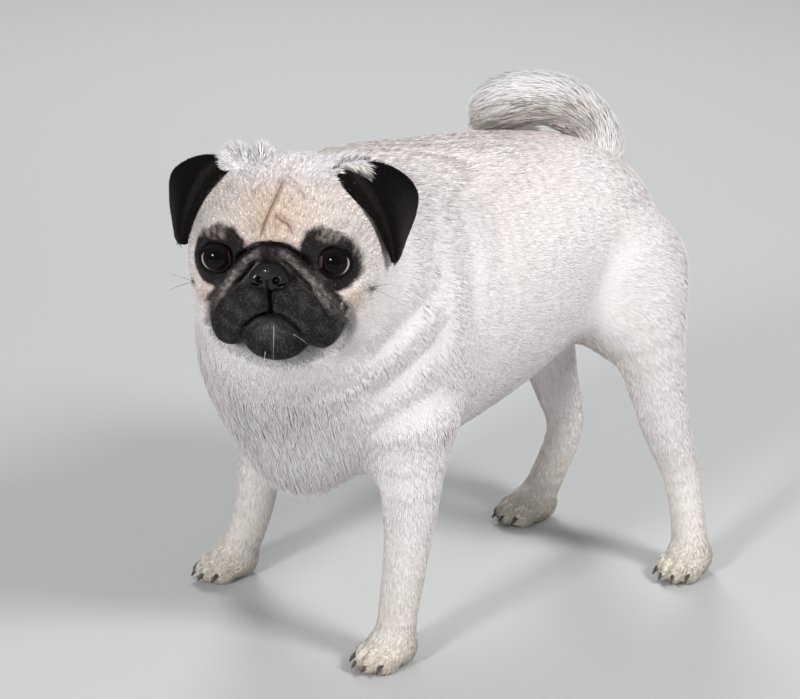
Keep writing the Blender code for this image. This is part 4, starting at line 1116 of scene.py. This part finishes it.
for side, name in ((1, "ear_left"), (-1, "ear_right")):
    net = np.array(EAR_ROWS) / 100
    net[..., 2] += (np.array((0.0, 0.0015, 0.003, 0.004, 0.006, 0.007)) * (side < 0))[:, None]
    nearer, by_column = np.array((0, 0, 0, 0.0035, 0.005, 0.005)), np.array((1.0, 0.7, 0.3, 0.1))
    net[..., 0] -= (side < 0) * nearer[:, None] * by_column
    net[..., 0] *= side
    root = net[:1] + (net[:1] - net[1:2]) * 0.5 - (side * 0.004, 0, 0.004)
    net = np.concatenate([root, net])
    middle = smooth_rows(smooth_rows(net, 9).transpose(1, 0, 2), 9).transpose(1, 0, 2)
    normal = np.cross(np.gradient(middle, axis=0), np.gradient(middle, axis=1))
    normal /= np.linalg.norm(normal, axis=-1, keepdims=True)
    v, u = np.meshgrid(np.linspace(0, 1, middle.shape[1]), np.linspace(0, 1, middle.shape[0]))
    edge = np.minimum.reduce([v, 1 - v, (1 - u) * 2.2])
    thick = 0.0004 + 0.0011 * np.sqrt(np.clip(edge / 0.12, 0, 1))
    ridge = 0.0009 * np.exp(-(((v - 0.185) / 0.035) ** 2)) - 0.0015 * (1 - ramp(v, 0.11, 0.17))
    ridge += 0.0006 * np.exp(-((v / 0.03) ** 2))
    ridge *= ramp(u, 0.15, 0.3) * (1 - ramp(u, 0.9, 1.0) * 0.5)
    top = middle + side * normal * (thick + ridge)[..., None]
    under = middle - side * normal * (thick - 0.6 * ridge)[..., None]
    rows, columns = middle.shape[:2]
    loop = np.concatenate([top, under[:, ::-1]], 1)
    faces = strip(rows, 2 * columns)
    points = loop.reshape(-1, 3)
    cap = np.arange(columns - 1)
    ends = [np.stack([cap, cap + 1, 2 * columns - 2 - cap, 2 * columns - 1 - cap], -1)]
    ends.append(ends[0][:, ::-1] + (rows - 1) * 2 * columns)
    faces = np.concatenate([faces, *ends])
    if side > 0:
        faces = faces[:, ::-1]
    points = moved(points, HEAD_FRAME)
    ear = mesh_object(name + "_velvet", points, faces)
    v, u = (np.concatenate([part, part[:, ::-1]], 1).ravel() for part in (v, u))
    face_in = np.tile(np.arange(2 * columns) >= columns, rows)
    front = (1 - ramp(v, 0.12, 0.16)) * (1 - face_in)
    # Painted highlight: a thin paler line along the crest behind the turned-out front edge.
    fold = np.exp(-(((v - 0.165) / 0.014) ** 2)) * (1 - face_in) * ramp(u, 0.18, 0.30)
    # Painted sheen: the flap is painted greyer towards its tip and rear, as a highlight on the black velvet.
    low = ramp(u, 0.45, 0.85) * ramp(v, 0.25, 0.7)
    colour = mix((0.0045, 0.0038, 0.0040), (0.045, 0.042, 0.045), low * 0.7)
    colour = mix(colour, (0.0065, 0.0050, 0.0048), front * 0.8)
    colour = mix(colour, (0.070, 0.055, 0.050), fold * 0.6)
    rim = (1 - ramp(v, 0.08, 0.20)) * (1 - ramp(u, 0.28, 0.42))
    colour = mix(colour, (0.170, 0.105, 0.085), rim * 0.75)
    colour = mix(colour, (0.090, 0.050, 0.042), face_in * (1 - ramp(u, 0.35, 0.9)) * 0.8)
    # The pale hair of the crown covers the root of each ear down to this share of its length.
    covered = 0.19
    if side > 0:
        covered = 0.26 - 0.06 * (1 - ramp(v, 0, 0.12)) + 0.17 * np.exp(-(((v - 0.26) / 0.12) ** 2))
    furred = (1 - ramp(u, covered - 0.02, covered + 0.07)) * (1 - face_in)
    colour = mix(colour, (0.80, 0.745, 0.69), furred)
    dress(ear, colour, velvet, [name])
    skins[name] = (points, faces)
    place, up = rooted(name, 4000)
    near = ((place[:, None] - points[None, ::3]) ** 2).sum(-1).argmin(1) * 3
    down = np.gradient(loop, axis=0).reshape(-1, 3)[near] @ np.array(HEAD_FRAME.to_3x3()).T
    root = furred[near]
    unwrap = np.stack([np.where(face_in[near], 0.5, 0) + v[near] * 0.48, u[near]], 1)
    short = 0.0024 + 0.0046 * root
    lift, wide = short * (0.08 + 0.2 * root), 0.00040 + 0.0002 * root
    tufts("coat_" + name, place, up, down, short, lift, wide, colour[near], unwrap, "ear")


# The whiskers: few, thin and tapering, from the lips, the cheek moles, the brows and the chin.
whiskers = []
for side in (-1, 1):
    for _ in range(9):
        start = np.array((side * chance.uniform(0.014, 0.034), 0, chance.uniform(-0.036, -0.014)))
        start[1] = -0.056 + 0.022 * (abs(start[0]) / 0.034) ** 2
        aside, ahead, down = chance.uniform(0.5, 1.0), chance.uniform(-0.3, 0.5), chance.uniform(-0.9, -0.1)
        way = np.array((side * aside, ahead, down))
        whiskers.append((start, way, chance.uniform(0.009, 0.022), chance.random() < 0.12))
    for spread in (-0.2, 0.25):
        start = np.array((side * 0.0530, -0.0245, -0.0123))
        whiskers.append((start, np.array((side * 1.0, 0.1 + spread, 0.05 + spread)), 0.022, False))
        start = np.array((side * 0.034, -0.0415, 0.0265))
        whiskers.append((start, np.array((side * 0.5, -0.6, 0.8 + spread)), 0.012, False))
whiskers += [
    (np.array((0.002, -0.0550, -0.030)), np.array((0.05, -0.35, -0.9)), 0.016, True),
    (np.array((-0.004, -0.0545, -0.046)), np.array((-0.1, -0.3, -0.9)), 0.012, True),
    (np.array((0.008, -0.0540, -0.047)), np.array((0.2, -0.3, -0.8)), 0.012, False),
]
points, faces, colours, total = [], [], [], 0
for start, way, length, white in whiskers:
    way = way / np.linalg.norm(way)
    bend = np.array((0, 0.15, -0.25)) + chance.normal(0, 0.08, 3)
    run = np.linspace(0, 1, 5)[:, None]
    line = start - way * 0.002 + (way * run + bend * run**2) * (length + 0.002)
    net, quads = tube(np.concatenate([line, 0.00013 * (1.02 - run**1.5)], 1), 6, (0.3, 0.5, 0.8), 3)
    points.append(net)
    faces.append(quads + total)
    colours.append(np.tile((0.62, 0.58, 0.54) if white else (0.035, 0.030, 0.028), (len(net), 1)))
    total += len(net)
hairs = mesh_object("whiskers", moved(np.concatenate(points), HEAD_FRAME), np.concatenate(faces))
dress(hairs, np.concatenate(colours), painted("whisker", 0.35))


# The claws: short dark horn, four to a paw, each bending down to a blunt point above the floor.
points, faces, total, names = [], [], 0, []
for leg in LEG_JOINTS:
    for number, (x, y) in enumerate(TOES, 1):
        rows = [
            (x * 1.02, y - 0.0030, 0.0082, 0.0016),
            (x * 1.08, y - 0.0062, 0.0078, 0.0016),
            (x * 1.14, y - 0.0092, 0.0062, 0.0012),
            (x * 1.18, y - 0.0112, 0.0036, 0.0004),
        ]
        net, quads = tube(np.array(rows), 10, (1, 0, 0), 5)
        points.append(moved(net, paw_frame(leg)))
        faces.append(quads + total)
        total += len(net)
        names.append(f"claw_{leg.replace('leg', 'paw')}_{number}")
claws = mesh_object("claws", np.concatenate(points), np.concatenate(faces))
dress(claws, (0.075, 0.062, 0.052), painted("horn", 0.30), names)


# The stage: a plain pale floor and soft studio light, and the photo's camera.
corners = np.array([(-4, -4, 0), (4, -4, 0), (4, 4, 0), (-4, 4, 0)], float)
floor = mesh_object("floor", corners, np.array([[0, 1, 2, 3]]))
paint = bpy.data.materials.new("floor")
paint.use_nodes = True
shader = paint.node_tree.nodes["Principled BSDF"]
shader.inputs["Base Color"].default_value = (0.50, 0.505, 0.50, 1)
shader.inputs["Roughness"].default_value = 0.8
floor.data.materials.append(paint)

scene = bpy.context.scene
scene.view_settings.view_transform = "Standard"
world = bpy.data.worlds.new("studio")
scene.world = world
world.use_nodes = True
sky = world.node_tree.nodes["Background"]
sky.inputs["Color"].default_value = (0.90, 0.94, 1.0, 1)
sky.inputs["Strength"].default_value = 0.32
# Each lamp's name, place, width in metres and power in watts.
for name, place, size, power in (
    ("key", (1.80, 0.70, 1.85), 0.7, 47),
    ("fill", (0.70, -1.90, 1.10), 0.4, 27),
    ("rim", (-1.50, 0.90, 1.70), 0.8, 26),
):
    lamp = bpy.data.lights.new(name, "AREA")
    lamp.shape = "DISK"
    lamp.size, lamp.energy = size, power
    light = bpy.data.objects.new(name, lamp)
    scene.collection.objects.link(light)
    light.location = place
    light.visible_glossy = name == "fill"
    towards_dog = Vector((0, 0, 0.16)) - Vector(place)
    light.rotation_euler = towards_dog.to_track_quat("-Z", "Y").to_euler()

azimuth, elevation = math.radians(54.3), math.radians(20.2)
level = math.cos(elevation)
back = Vector((math.sin(azimuth) * level, -math.cos(azimuth) * level, math.sin(elevation)))
camera = bpy.data.objects.new("camera", bpy.data.cameras.new("camera"))
scene.collection.objects.link(camera)
camera.data.sensor_width, camera.data.lens, camera.data.clip_end = 36, 135, 50
aim, distance = Vector((-0.0157, -0.0113, 0.1667)) + Vector(ROW_PLACE), 1.93
camera.location = aim + back * distance
camera.rotation_euler = (-back).to_track_quat("-Z", "Y").to_euler()
scene.camera = camera
